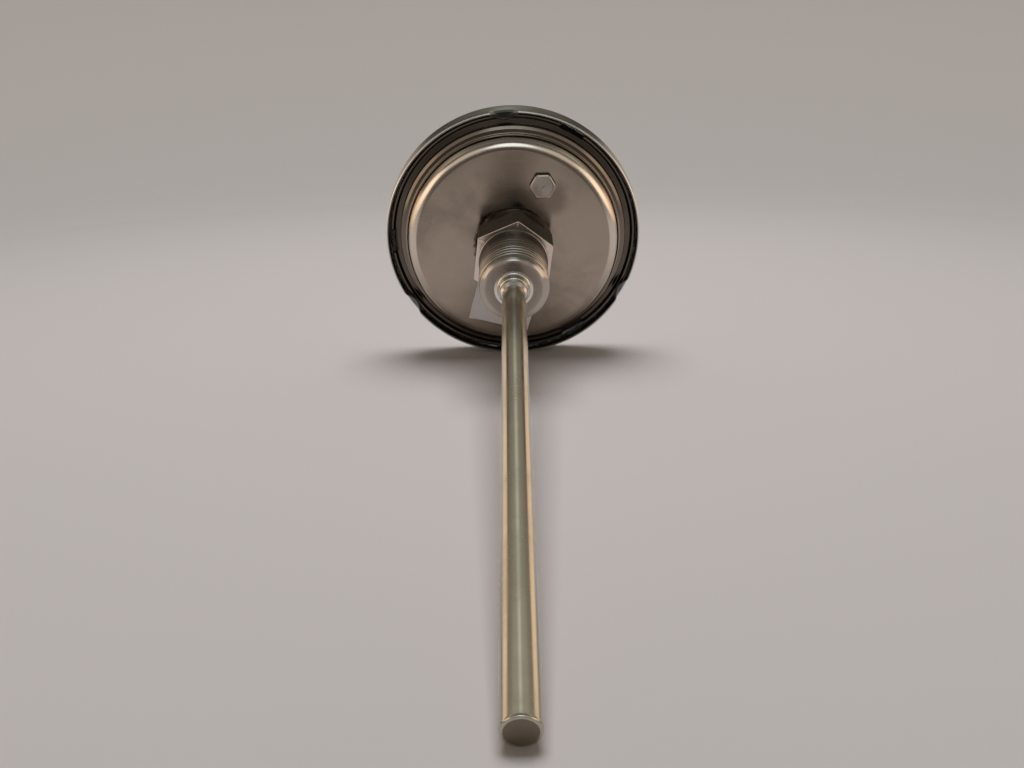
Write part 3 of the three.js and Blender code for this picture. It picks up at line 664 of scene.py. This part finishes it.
def bezel():
    rear, front = span("bezel")[1].y, span("bezel")[0].y
    outer = span("bezel")[1].x
    wall = [(BEZEL_REAR_RADIUS + 0.05, y, 0) for y in (-20.9, -21.3, -21.7, -22.05)]
    inside = [(BEZEL_REAR_RADIUS - SHEET + 0.05, y, 0) for y in (-22.2, -21.8, -21.4, -21.0)]
    outline = rounded([
        (BEZEL_REAR_RADIUS - SHEET / 2, rear, 0),
        (BEZEL_REAR_RADIUS, rear, 0.38),
        *wall,
        (BEZEL_REAR_RADIUS + 0.1, -22.6, 0),
        (outer, -26.3, 3),
        (39.0, front, 1.5),
        (37.0, front + 0.12, 1.0),
        (35.4, front + 0.05, 0.45),
        (35.4, front + SHEET + 0.1, 0.3),
        (38.3, front + SHEET + 0.1, 0.6),
        (39.1, -26.3, 2),
        (BEZEL_REAR_RADIUS - SHEET + 0.1, -22.8, 0),
        *inside,
        (BEZEL_REAR_RADIUS - SHEET, rear, 0.3),
    ])
    fine = lock_angles(SCOOP_TURN, np.linspace(-SCOOP_HALF, SCOOP_HALF, 27))
    mesh = turned("bezel_ring", outline, 288, [fine], scooped)
    show(mesh, "bezel_ring", "bezel", RIM, ["bezel"])


def gasket_and_window():
    low, high = span("lens_gasket")
    outline = rounded([
        (34.9, high.y, 0.35), (high.x, high.y, 0.35), (high.x, low.y, 0.35), (34.9, low.y, 0.35),
    ])
    show(turned("gasket", outline, 192), "gasket", "housing", RUBBER, ["lens_gasket"])
    low, high = span("lens")
    outline = rounded([(0, high.y, 0), (high.x, high.y, 0.3), (high.x, low.y, 0.5), (0, low.y, 0)])
    window = show(turned("window", outline, 192), "window", "housing", PANE, ["lens"])
    window.visible_shadow = False


# ---------------------------------------------------------------- connection and stem

def hex_radius(degrees, flat, first, blunt):
    """The radius of a hexagon at each angle, with its corners a little blunt."""
    offset = np.radians((degrees - first) % 60 - 30)
    return np.minimum(flat / np.cos(offset), flat / math.cos(math.radians(30)) - blunt)


def hex_rings(degrees, sizes, first, blunt):
    """Hexagonal rings from (distance to a flat, y) pairs."""
    whole = closed(degrees)
    angle = np.radians(whole)
    made = []
    for flat, y in sizes:
        radius = hex_radius(whole, flat, first, blunt)
        made.append(np.stack([-radius * np.cos(angle), np.full_like(angle, y), radius * np.sin(angle)], -1))
    return np.array(made)


def thread_rings(degrees):
    """A right-hand taper thread that fades into the neck and is cut off by the bevel."""
    whole = closed(degrees)
    per_pitch = 14
    crest_place = 0.39  # of a pitch
    rows = int(math.ceil((BEVEL_END[1] - THREAD_START) / THREAD_PITCH + 2)) * per_pitch
    step = np.arange(rows)[:, None]
    y = THREAD_START + THREAD_PITCH * (step / per_pitch - 1 + (whole - whole[0])[None, :] / 360)
    y = np.clip(y, THREAD_START, BEVEL_END[1] - 0.1)
    phase = (step / per_pitch + crest_place) % 1 + 0 * y
    slope = np.clip((np.abs(phase - 0.5) * 2 - 0.05) / 0.87, 0, 1)
    crest = THREAD_RADIUS - THREAD_TAPER * (y - THREAD_START)
    radius = crest - THREAD_DEPTH * slope
    fade = np.clip((y - THREAD_START) / (0.8 * THREAD_PITCH), 0, 1)
    radius = NECK_RADIUS + (radius - NECK_RADIUS) * fade
    round_off = np.clip((y - BEVEL_START[1]) / (BEVEL_END[1] - BEVEL_START[1]), 0, 1)
    radius = np.minimum(radius, BEVEL_START[0] - (BEVEL_START[0] - BEVEL_END[0]) * round_off ** 1.35)
    angle = np.radians(whole)[None, :]
    return np.stack([-radius * np.cos(angle), y, radius * np.sin(angle)], -1)


def weld_ripple(radius, y, degrees):
    """The uneven edge of the weld that joins the boss to the case, a little off centre."""
    turn = np.radians(degrees)
    ripple = 0.05 * np.sin(23 * turn) + 0.035 * np.sin(41 * turn + 1) + 0.025 * np.sin(67 * turn + 2)
    welded = (radius > BOSS_RADIUS - 0.3) & (y < HEX_BACK)
    off_centre = np.where(welded, radius + 0.45 * np.cos(turn - 0.7), radius)
    welded = (off_centre > BOSS_RADIUS - 0.3) & (y < HEX_BACK)
    return np.where(welded, off_centre + ripple, off_centre)


def connection():
    flat = HEX_ACROSS_FLATS / 2
    near_corners = np.array([HEX_TURN + 60 * k + d for k in range(6) for d in (-1.2, -0.6, 0.6, 1.2)])
    degrees = turns(144, near_corners, start=HEX_TURN)
    nose, end_of_nose = NOSE
    groove = nose - 0.9
    inner = [
        (BORE_RADIUS, end_of_nose, 0), (nose, end_of_nose, 0),
        (nose, -21.5, 0), (groove, -21.5, 0), (groove, -20.6, 0), (nose, -20.6, 0),
        (nose, SPIGOT[1], 0), (SPIGOT[0], SPIGOT[1], 0), (SPIGOT[0], CASE_BACK, 0),
        (BOSS_RADIUS + 0.5, CASE_BACK, 0), (BOSS_RADIUS + 0.15, CASE_BACK + 0.5, 0),
        (BOSS_RADIUS, CASE_BACK + 1.1, 0), (BOSS_RADIUS - 0.05, HEX_BACK - 0.5, 0),
        (flat - 0.6, HEX_BACK - 0.2, 0),
    ]
    hexagon = hex_rings(degrees, [
        (flat - 0.3, HEX_BACK), (flat - 0.1, HEX_BACK + 0.05), (flat, HEX_BACK + 0.25),
        (flat, -0.16), (flat - 0.05, -0.05), (flat - 0.16, 0),
    ], HEX_TURN, 0.04)
    neck = [(NECK_RADIUS + 0.05, 0, 0), (NECK_RADIUS - 0.2, 0.25, 0), (NECK_RADIUS, 0.7, 0)]
    bevel_radius, end = BEVEL_END
    face = [
        (bevel_radius - 0.55, end - 0.03, 0), (bevel_radius - 1.2, end, 0),
        (5.2, end, 0), (BORE_RADIUS, end, 0),
    ]
    sections = np.concatenate([
        rings(inner, degrees, weld_ripple), hexagon, rings(neck, degrees),
        thread_rings(degrees), rings(face, degrees),
    ])
    mesh = skin("connection", sections, True, 24)
    show(mesh, "connection", "housing", TURNED, ["process_connection"])


def collar():
    start = BEVEL_END[1]
    outline = rounded([
        (STEM_RADIUS, start, 0), (5.4, start, 0), (4.6, start + 0.25, 0.7), (4.3, start + 1.1, 0.9),
        (4.1, start + 1.75, 0.1), (3.92, start + 1.85, 0.05), (4.0, start + 2.1, 0.15),
        (3.8, start + 3.2, 0.8), (3.4, start + 4.0, 0.6), (STEM_RADIUS, start + 4.5, 0),
    ])
    mesh = turned("stem_weld", outline, 96, sharp=50)
    show(mesh, "stem_weld", "housing", COLLAR_STEEL, ["weld_collar"])


def stem():
    low, high = span("stem_tube")
    outline = rounded([
        (STEM_BORE, low.y, 0), (STEM_RADIUS, low.y, 0.1), (STEM_RADIUS, 60, 0), (STEM_RADIUS, 120, 0),
        (STEM_RADIUS, high.y, TIP_ROUND), (STEM_BORE - 0.12, high.y, 0), (STEM_BORE, high.y - 0.14, 0),
    ])
    show(turned("stem", outline, 96), "stem", "housing", DRAWN, ["stem_tube"])
    radius = STEM_BORE - 0.01
    outline = rounded([
        (0, high.y - PLUG_LENGTH, 0), (radius, high.y - PLUG_LENGTH, 0.2), (radius, high.y - 0.15, 0),
        (radius - 0.12, high.y - 0.01, 0), (radius - 0.5, high.y, 0), (0, high.y, 0),
    ])
    show(turned("stem_plug", outline, 96), "stem_plug", "housing", TIP_STEEL, ["tip_plug"])


def calibration_head():
    low, high = span("calibration_screw")
    centre = middle("calibration_screw")
    flat = (high.z - low.z) / 2
    degrees = turns(96, np.array([60 * k + d for k in range(6) for d in (-1.5, 1.5)]))
    top = high.y
    grooves = []
    for k in range(1, 9):
        radius = 0.35 * k
        grooves += [(radius - 0.1, top - 0.02, 0), (radius, top - 0.04, 0), (radius + 0.1, top - 0.02, 0)]
    base, shoulder = -14.7, -18.6
    head = hex_rings(degrees, [
        (flat - 0.22, top), (flat - 0.06, top - 0.08), (flat, top - 0.25),
        (flat, base + 0.25), (flat - 0.2, base),
    ], 0, 0.15)
    shaft = [
        (2, base, 0), (2, shoulder, 0), (1.2, shoulder, 0),
        (1.2, low.y + 0.2, 0), (1.0, low.y, 0), (0, low.y, 0),
    ]
    sections = np.concatenate([
        rings([(0, top - 0.09, 0), (0.12, top - 0.07, 0), *grooves], degrees), head, rings(shaft, degrees),
    ])
    mesh = skin("calibration_head", sections, False, 24)
    mesh.transform(Matrix.Translation((centre.x * MM, 0, centre.z * MM)))
    show(mesh, "calibration_head", "calibration_screw", TURNED_SMALL, ["calibration_screw"])


def label():
    """A paper label whose free corner has lifted a little."""
    width, height, thickness = LABEL_SIZE
    centre = middle("rear_label")
    across = np.linspace(-width / 2, width / 2, 49)
    down = np.linspace(-height / 2, height / 2, 37)
    x, z = np.meshgrid(across, down, indexing="ij")
    lift = LABEL_LIFT * np.clip((x - z - 11.0) / 6.0, 0, 1) ** 2 + 0.05 * np.sin(x / 2.1) * np.cos(z / 2.7)
    back = CASE_BACK + 0.08 + lift
    points = np.stack([np.stack([x, back + thickness, z], -1), np.stack([x, back, z], -1)])
    index = np.arange(points[..., 0].size).reshape(points.shape[:3])
    faces = np.stack([index[:, :-1, :-1], index[:, 1:, :-1], index[:, 1:, 1:], index[:, :-1, 1:]], -1)
    border = [index[:, :, 0], index[:, -1, 1:], index[:, -2::-1, -1], index[:, 0, -2:0:-1]]
    border = np.concatenate(border, 1)
    following = np.roll(border, -1, 1)
    walls = np.stack([border[0], following[0], following[1], border[1]], -1)
    mesh = bpy.data.meshes.new("label")
    quads = np.concatenate([faces.reshape(-1, 4), walls]).tolist()
    mesh.from_pydata((points.reshape(-1, 3) * MM).tolist(), [], quads)
    place = Matrix.Translation((centre.x * MM, 0, centre.z * MM))
    mesh.transform(place @ Matrix.Rotation(math.radians(LABEL_TILT), 4, "Y"))
    show(finished(mesh), "label", "housing", LABEL_STOCK, ["rear_label"])


# ---------------------------------------------------------------- dial and pointer

def dial_angle(fahrenheit):
    return DIAL_ZERO - DEGREES_PER_FAHRENHEIT * fahrenheit


def printed(inner, outer, start, end, steps=1):
    """A thin printed bar or arc on the dial, between two radii and two angles."""
    outline = circle(outer, start=start, end=end, count=steps + 1)
    outline += circle(inner, start=end, end=start, count=steps + 1)
    work = bmesh.new()
    levels = [DIAL_FRONT + INK / 2, DIAL_FRONT - INK]
    loops = [[work.verts.new((x * MM, y * MM, z * MM)) for x, z in outline] for y in levels]
    count = len(outline)
    for k in range(count):
        then = (k + 1) % count
        work.faces.new([loops[0][k], loops[0][then], loops[1][then], loops[1][k]])
    for k in range(steps):
        for loop in loops:
            work.faces.new([loop[k], loop[k + 1], loop[count - 2 - k], loop[count - 1 - k]])
    mesh = bpy.data.meshes.new("printed")
    work.to_mesh(mesh)
    work.free()
    return mesh


def tick(value, sizes, radius, degrees):
    """A value's tick on the dial, which ends at a radius."""
    length, width = next(row[1:] for row in sizes if value % row[0] == 0)
    half = math.degrees(width / 2 / radius)
    return printed(radius - length, radius, degrees - half, degrees + half)


def lettering(text, size, x, z):
    curve = bpy.data.curves.new("lettering", "FONT")
    curve.body = text
    curve.size = size * MM
    curve.align_x = "CENTER"
    curve.align_y = "CENTER"
    curve.extrude = INK / 2 * MM
    curve.offset = 0.012 * size * MM
    mesh = mesh_of(curve)
    place = Matrix.Translation((x * MM, (DIAL_FRONT - INK / 2) * MM, z * MM))
    mesh.transform(place @ Matrix.Rotation(math.radians(90), 4, "X"))
    return mesh


def number_at(value, degrees, radius, size):
    turn = math.radians(degrees)
    return lettering(str(value), size, radius * math.cos(turn), radius * math.sin(turn))


def fahrenheit_scale():
    marks = [printed(*FAHRENHEIT_ARC, dial_angle(250), dial_angle(0), 120)]
    for value in range(0, 251, 2):
        marks.append(tick(value, FAHRENHEIT_TICKS, FAHRENHEIT_TICK_END, dial_angle(value)))
    marks += [number_at(value, dial_angle(value), *FAHRENHEIT_NUMBERS) for value in range(0, 241, 20)]
    marks.append(lettering("°F", 4.6, 0, 11.5))
    return marks


def celsius_angle(celsius):
    return dial_angle(celsius * 9 / 5 + 32)


def celsius_scale():
    marks = [printed(*CELSIUS_ARC, celsius_angle(120), celsius_angle(-15), 120)]
    for value in range(-15, 121):
        if value % 5 == 0 or value % 2 == 0:
            marks.append(tick(value, CELSIUS_TICKS, CELSIUS_TICK_END, celsius_angle(value)))
    marks += [number_at(value, celsius_angle(value), *CELSIUS_NUMBERS) for value in range(0, 121, 20)]
    marks.append(lettering("°C", 3.2, 0, -12.5))
    return marks


def dial():
    low, high = span("dial_plate")
    holes = [circle(1.6, count=32), circle(1.1, -11, count=24), circle(1.1, 11, count=24)]
    mesh = plate("dial", [circle(high.x, count=192), *holes], high.y - low.y, 0.08)
    mesh.transform(Matrix.Translation((0, (low.y + high.y) / 2 * MM, 0)))
    show(mesh, "dial", "dial", DIAL_PAINT, ["dial_plate"])
    for name, marks, ink in (
        ("fahrenheit_scale", fahrenheit_scale(), BLACK_INK),
        ("celsius_scale", celsius_scale(), RED_INK),
    ):
        show(finished(joined(name, marks)), name, "dial", ink, smooth=False)


def dial_screws():
    for hand, slot_turn in (("left", -15), ("right", 65)):
        node = f"dial_screw_{hand}"
        low, high = span(node)
        centre = middle(node)
        outline = rounded([
            (0, high.y, 0), (0.8, high.y, 0.1), (0.8, low.y + 0.6, 0), (1.9, low.y + 0.6, 0.06),
            (1.9, low.y, 0.4), (0, low.y, 0),
        ])
        mesh = turned(node, outline, 64)
        mesh.transform(Matrix.Translation((centre.x * MM, 0, centre.z * MM)))
        screw = show(mesh, f"brass_screw_{hand}", "dial", BRASS, [node])
        cut_slot(screw, centre.x, low.y, slot_turn)


def cut_slot(screw, x, y, degrees):
    """Cuts a straight driver slot across a screw's head."""
    work = bmesh.new()
    bmesh.ops.create_cube(work, size=1.0)
    bmesh.ops.scale(work, verts=work.verts, vec=(5 * MM, 0.66 * MM, 0.5 * MM))
    mesh = bpy.data.meshes.new("slot_cutter")
    work.to_mesh(mesh)
    work.free()
    mesh.transform(Matrix.Translation((x * MM, y * MM, 0)) @ Matrix.Rotation(math.radians(degrees), 4, "Y"))
    cutter = bpy.data.objects.new("slot_cutter", mesh)
    bpy.context.scene.collection.objects.link(cutter)
    cut = screw.modifiers.new("slot", "BOOLEAN")
    cut.operation = "DIFFERENCE"
    cut.solver = "EXACT"
    cut.object = cutter
    scene_state = bpy.context.evaluated_depsgraph_get()
    screw.data = bpy.data.meshes.new_from_object(screw.evaluated_get(scene_state))
    screw.modifiers.clear()
    bpy.data.objects.remove(cutter)


def pointer():
    ring, tail, disc = 4.6, 10.0, 2.6
    half = [(29.0, 0.0), (27.6, 0.16), (23.5, 0.5), (5.0, 1.25)]
    half += circle(ring, start=18, end=168, count=26)
    half += [(-6.0, 0.75)]
    half += circle(disc, x=-tail, start=20, end=180, count=22)
    outline = half + [(x, -z) for x, z in half[-2:0:-1]]
    mesh = plate("needle", [outline, circle(2.62, count=48)], 0.4, 0.1)
    turn = Matrix.Rotation(-math.radians(dial_angle(SHOWN_FAHRENHEIT)), 4, "Y")
    mesh.transform(Matrix.Translation((0, middle("pointer").y * MM, 0)) @ turn)
    show(mesh, "needle", "pointer", BLACK_PAINT, ["pointer"])
    low, high = span("pointer_hub")
    outline = rounded([
        (0.82, high.y, 0), (2.6, high.y, 0.15), (2.6, low.y + 0.75, 0.12), (1.75, low.y, 0.35),
        (0.5, low.y, 0.1), (0.35, low.y + 0.12, 0), (0, low.y + 0.12, 0), (0, -25.15, 0), (0.82, -25.15, 0),
    ])
    show(turned("hub", outline, 72), "hub", "pointer", BRASS, ["pointer_hub"])


# ---------------------------------------------------------------- pieces inside

def sleeve(name, node, inner, body, material, edge=0.1):
    """A plain turned ring or bush that fills its CAD node, with softened edges."""
    low, high = span(node)
    centre = middle(node)
    outer = high.x - centre.x
    outline = rounded([
        (inner, high.y, edge), (outer, high.y, edge), (outer, low.y, edge), (inner, low.y, edge),
    ])
    mesh = turned(name, outline, 64)
    mesh.transform(Matrix.Translation((centre.x * MM, 0, centre.z * MM)))
    show(mesh, name, body, material, [node])


def inside_sleeves():
    sleeve("front_bush", "front_guide_bushing", 1.1, "housing", BRASS)
    sleeve("rear_bush", "rear_guide_bushing", 1.1, "housing", BRASS)
    sleeve("helix_hub", "helix_collar", 0.85, "pointer", BRASS)
    sleeve("spigot_ring", "connection_lock_ring", 8.2, "housing", PLAIN_STEEL, 0.2)
    sleeve(
        "pinion_washer", "calibration_washer", 2.1, "calibration_screw", PLAIN_STEEL, 0.08,
    )


def shaft():
    low, high = span("pointer_shaft")
    outline = rounded([(0, low.y, 0), (0.8, low.y, 0.15), (0.8, high.y, 0.15), (0, high.y, 0)])
    show(turned("shaft", outline, 32), "shaft", "pointer", PLAIN_STEEL, ["pointer_shaft"])


def helix():
    """The bimetal coil: a flat strip wound edge on round the stem's axis."""
    low, high = span("bimetal_helix")
    inner, outer, width = 1.75, 2.05, 1.4
    wound, per_turn = 18, 48
    count = wound * per_turn + 1
    turn = np.arange(count) / per_turn
    start = low.y + (high.y - low.y - width) * turn / wound
    angle = 2 * np.pi * turn
    corners = []
    for radius, along in ((inner, 0), (outer, 0), (outer, width), (inner, width), (inner, 0)):
        corners.append(np.stack([radius * np.cos(angle), start + along, radius * np.sin(angle)], -1))
    sections = np.stack(corners, 1)
    first, last = (np.repeat(end[:4].mean(0)[None], 5, 0)[None] for end in (sections[0], sections[-1]))
    sections = np.concatenate([first, sections, last])
    show(skin("coil", sections, False), "coil", "housing", STRIP, ["bimetal_helix"])


def finish_cad_nodes():
    """Materials for the CAD nodes that are shown as they are."""
    finishes = {
        "dial_carrier": BRASS,
        "carrier_wave_washer": PLAIN_STEEL,
        "carrier_clip": PLAIN_STEEL,
        "calibration_o_ring": RUBBER,
        "calibration_pinion": BRASS,
        "calibration_clip": PLAIN_STEEL,
    }
    for name, material in finishes.items():
        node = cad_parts[name]
        node.data.materials.clear()
        node.data.materials.append(material)


# ---------------------------------------------------------------- floor, light and camera

def lowest_contacts():
    """Where the object lies on a table: the bezel's rear edge and the stem's tip, as (y, z)."""
    return (span("bezel")[1].y, -BEZEL_REAR_RADIUS), (span("stem_tube")[1].y - TIP_ROUND, -STEM_RADIUS)


def paper_sheet(name, profile, slope, place):
    """A disc or bowl of backdrop paper from (radius, height) points."""
    around = 128
    points, quads = [], []
    for radius, height in profile:
        points += [(x * MM, y * MM, height * MM) for x, y in circle(radius, count=around)]
    for i in range(len(profile) - 1):
        for k in range(around):
            then = (k + 1) % around
            here, above = i * around, (i + 1) * around
            quads.append([here + k, here + then, above + then, above + k])
    mesh = bpy.data.meshes.new(name)
    mesh.from_pydata(points, [], quads)
    mesh.polygons.foreach_set("use_smooth", [True] * len(mesh.polygons))
    sheet = bpy.data.objects.new(name, mesh)
    bpy.context.scene.collection.objects.link(sheet)
    sheet.rotation_euler = (slope, 0, 0)
    sheet.location = Vector(place) * MM
    return sheet


def backdrop_paper():
    """Pale paper whose tone shifts a little outwards. Metal mirrors the onlooker's shade in front."""
    material, shader = new_material("backdrop_paper", Roughness=0.9)
    tree = material.node_tree
    place = object_place(tree)
    parts = add(tree, "SeparateXYZ", {0: place}).outputs
    flat = add(tree, "CombineXYZ", {"X": parts["X"], "Y": parts["Y"]}).outputs[0]
    distance = add(tree, "VectorMath", {0: flat}, operation="LENGTH").outputs["Value"]
    outwards = plus(tree, distance, times(tree, parts["Z"], 0.5))
    cloud = times(tree, noise_at(tree, place, 7.0, 3.0), 0.06)
    near = plus(tree, ramp(tree, outwards, 0.13, 0.38), cloud)
    colour = colour_mix(tree, near, PAPER_NEAR, PAPER_FURTHER)
    colour = colour_mix(tree, ramp(tree, outwards, 0.4, 1.0), colour, PAPER_FAR)
    mirrored = times(tree, add(tree, "LightPath").outputs["Is Glossy Ray"], 0.72)
    aside = math_node(tree, "ABSOLUTE", parts["X"])
    mirrored = times(tree, mirrored, fade(tree, aside, 16, 30))
    mirrored = times(tree, mirrored, fade(tree, parts["Y"], 110, 160))
    colour = colour_mix(tree, mirrored, colour, MIRRORED_SHADE)
    tree.links.new(colour, shader.inputs["Base Color"])
    return material


def floor():
    """A flat table under the object, and a backdrop that sweeps up from its edge."""
    (rear_y, rear_z), (tip_y, tip_z) = lowest_contacts()
    slope = math.atan2(tip_z - rear_z, tip_y - rear_y)
    place = (0, rear_y, rear_z - 0.02)
    flat_radius, sweep_radius = 420.0, 480.0
    sweep = []
    for k in range(13):
        turn = math.radians(84 * k / 12)
        sweep.append((flat_radius + sweep_radius * math.sin(turn), sweep_radius * (1 - math.cos(turn))))
    sweep.append((sweep[-1][0] + 60, 1100))
    table = paper_sheet("table", [(r, 0) for r in np.linspace(0, flat_radius, 12)], slope, place)
    backdrop = paper_sheet("backdrop", sweep, slope, place)
    for reach in ("visible_diffuse", "visible_glossy", "visible_transmission", "visible_shadow"):
        setattr(backdrop, reach, False)
    material = backdrop_paper()
    table.data.materials.append(material)
    backdrop.data.materials.append(material)


def lamp():
    """One soft lamp above, which the metal doesn't mirror."""
    light = bpy.data.lights.new("above", "AREA")
    light.shape = "RECTANGLE"
    light.size, light.size_y = (side * MM for side in LAMP_SIZE)
    light.energy = LAMP_WATTS
    light.color = LAMP_COLOUR
    holder = bpy.data.objects.new("above", light)
    bpy.context.scene.collection.objects.link(holder)
    holder.location = Vector(LAMP_PLACE) * MM
    direction = Vector(LAMP_AIM) - Vector(LAMP_PLACE)
    holder.rotation_euler = direction.to_track_quat("-Z", "Y").to_euler()
    holder.visible_camera = False
    holder.visible_glossy = False


def lobe(tree, direction, heading, height, inner, outer):
    """A soft patch in one direction, 1 in its middle and 0 outside; all in degrees, heading from +Y."""
    turn, rise = math.radians(heading), math.radians(height)
    aim = (math.sin(turn) * math.cos(rise), math.cos(turn) * math.cos(rise), math.sin(rise))
    cosine = add(tree, "VectorMath", {0: direction, 1: aim}, operation="DOT_PRODUCT").outputs["Value"]
    return ramp(tree, cosine, math.cos(math.radians(outer)), math.cos(math.radians(inner)))


def room():
    """The room the metal mirrors: shades by height, a strip of ceiling, walls, a window and two lamps."""
    world = bpy.data.worlds.new("room")
    bpy.context.scene.world = world
    world.use_nodes = True
    tree = world.node_tree
    direction = add(tree, "TexCoord").outputs["Generated"]
    x, y, z = add(tree, "SeparateXYZ", {0: direction}).outputs
    aside = math_node(tree, "ABSOLUTE", x)
    colour = colour_mix(tree, ramp(tree, aside, 0.25, 0.62), FAR_PAPER, WARM_SIDE)
    colour = colour_mix(tree, ramp(tree, z, -0.42, -0.28), FLOOR_GLOW, colour)
    low = math_node(tree, "SUBTRACT", z, span_map(tree, aside, 0.35, 0.6, 0.0, 0.2))
    colour = colour_mix(tree, ramp(tree, low, -0.03, 0.07), colour, DARK_BAND)
    colour = colour_mix(tree, ramp(tree, z, 0.20, 0.36), colour, UPPER_BAND)
    colour = colour_mix(tree, ramp(tree, z, 0.42, 0.64), colour, CEILING)
    strip = times(tree, span_map(tree, aside, 0.05, 0.14, 1.0, 0.0), ramp(tree, z, 0.3, 0.4))
    strip = times(tree, strip, span_map(tree, y, -0.1, 0.1, 1.0, 0.0))
    strip_colour = colour_mix(tree, ramp(tree, z, 0.35, 0.72), STRIP_LOW, STRIP_HIGH)
    colour = colour_mix(tree, strip, colour, strip_colour)
    colour = colour_mix(tree, ramp(tree, z, 0.76, 0.86), colour, OVERHEAD)
    behind = times(tree, ramp(tree, y, 0.12, 0.34), ramp(tree, z, -0.1, 0.0))
    colour = colour_mix(tree, behind, colour, ONLOOKER)
    for side in (-31, 31):
        colour = colour_mix(tree, lobe(tree, direction, side, 31, 8, 21), colour, PALE_WALL)
    colour = colour_mix(tree, lobe(tree, direction, 0, 42, 10, 17), colour, WINDOW)
    for side in (-58, 58):
        colour = colour_mix(tree, lobe(tree, direction, side, 9, 12, 25), colour, WARM_LAMP)
    background = tree.nodes["Background"]
    tree.links.new(colour, background.inputs["Color"])
    matt = add(tree, "LightPath").outputs["Is Diffuse Ray"]
    strength = span_map(tree, matt, 0.0, 1.0, 1.0, MATT_SHARE)
    tree.links.new(strength, background.inputs["Strength"])


def camera():
    data = bpy.data.cameras.new("camera")
    data.lens = CAMERA_LENS
    data.sensor_width = CAMERA_SENSOR
    data.clip_start, data.clip_end = 0.01, 20
    eye = bpy.data.objects.new("camera", data)
    bpy.context.scene.collection.objects.link(eye)
    heading = Matrix.Rotation(-math.radians(CAMERA_HEADING), 4, "Z")
    dip = Matrix.Rotation(math.radians(90 - CAMERA_DIP), 4, "X")
    roll = Matrix.Rotation(math.radians(CAMERA_ROLL), 4, "Z")
    eye.matrix_world = Matrix.Translation(Vector(CAMERA_PLACE) * MM) @ heading @ dip @ roll
    bpy.context.scene.camera = eye


case_shell()
bezel()
gasket_and_window()
connection()
collar()
stem()
calibration_head()
label()
dial()
dial_screws()
pointer()
inside_sleeves()
shaft()
helix()
finish_cad_nodes()
floor()
lamp()
room()
camera()
bpy.context.scene.view_settings.view_transform = "Standard"
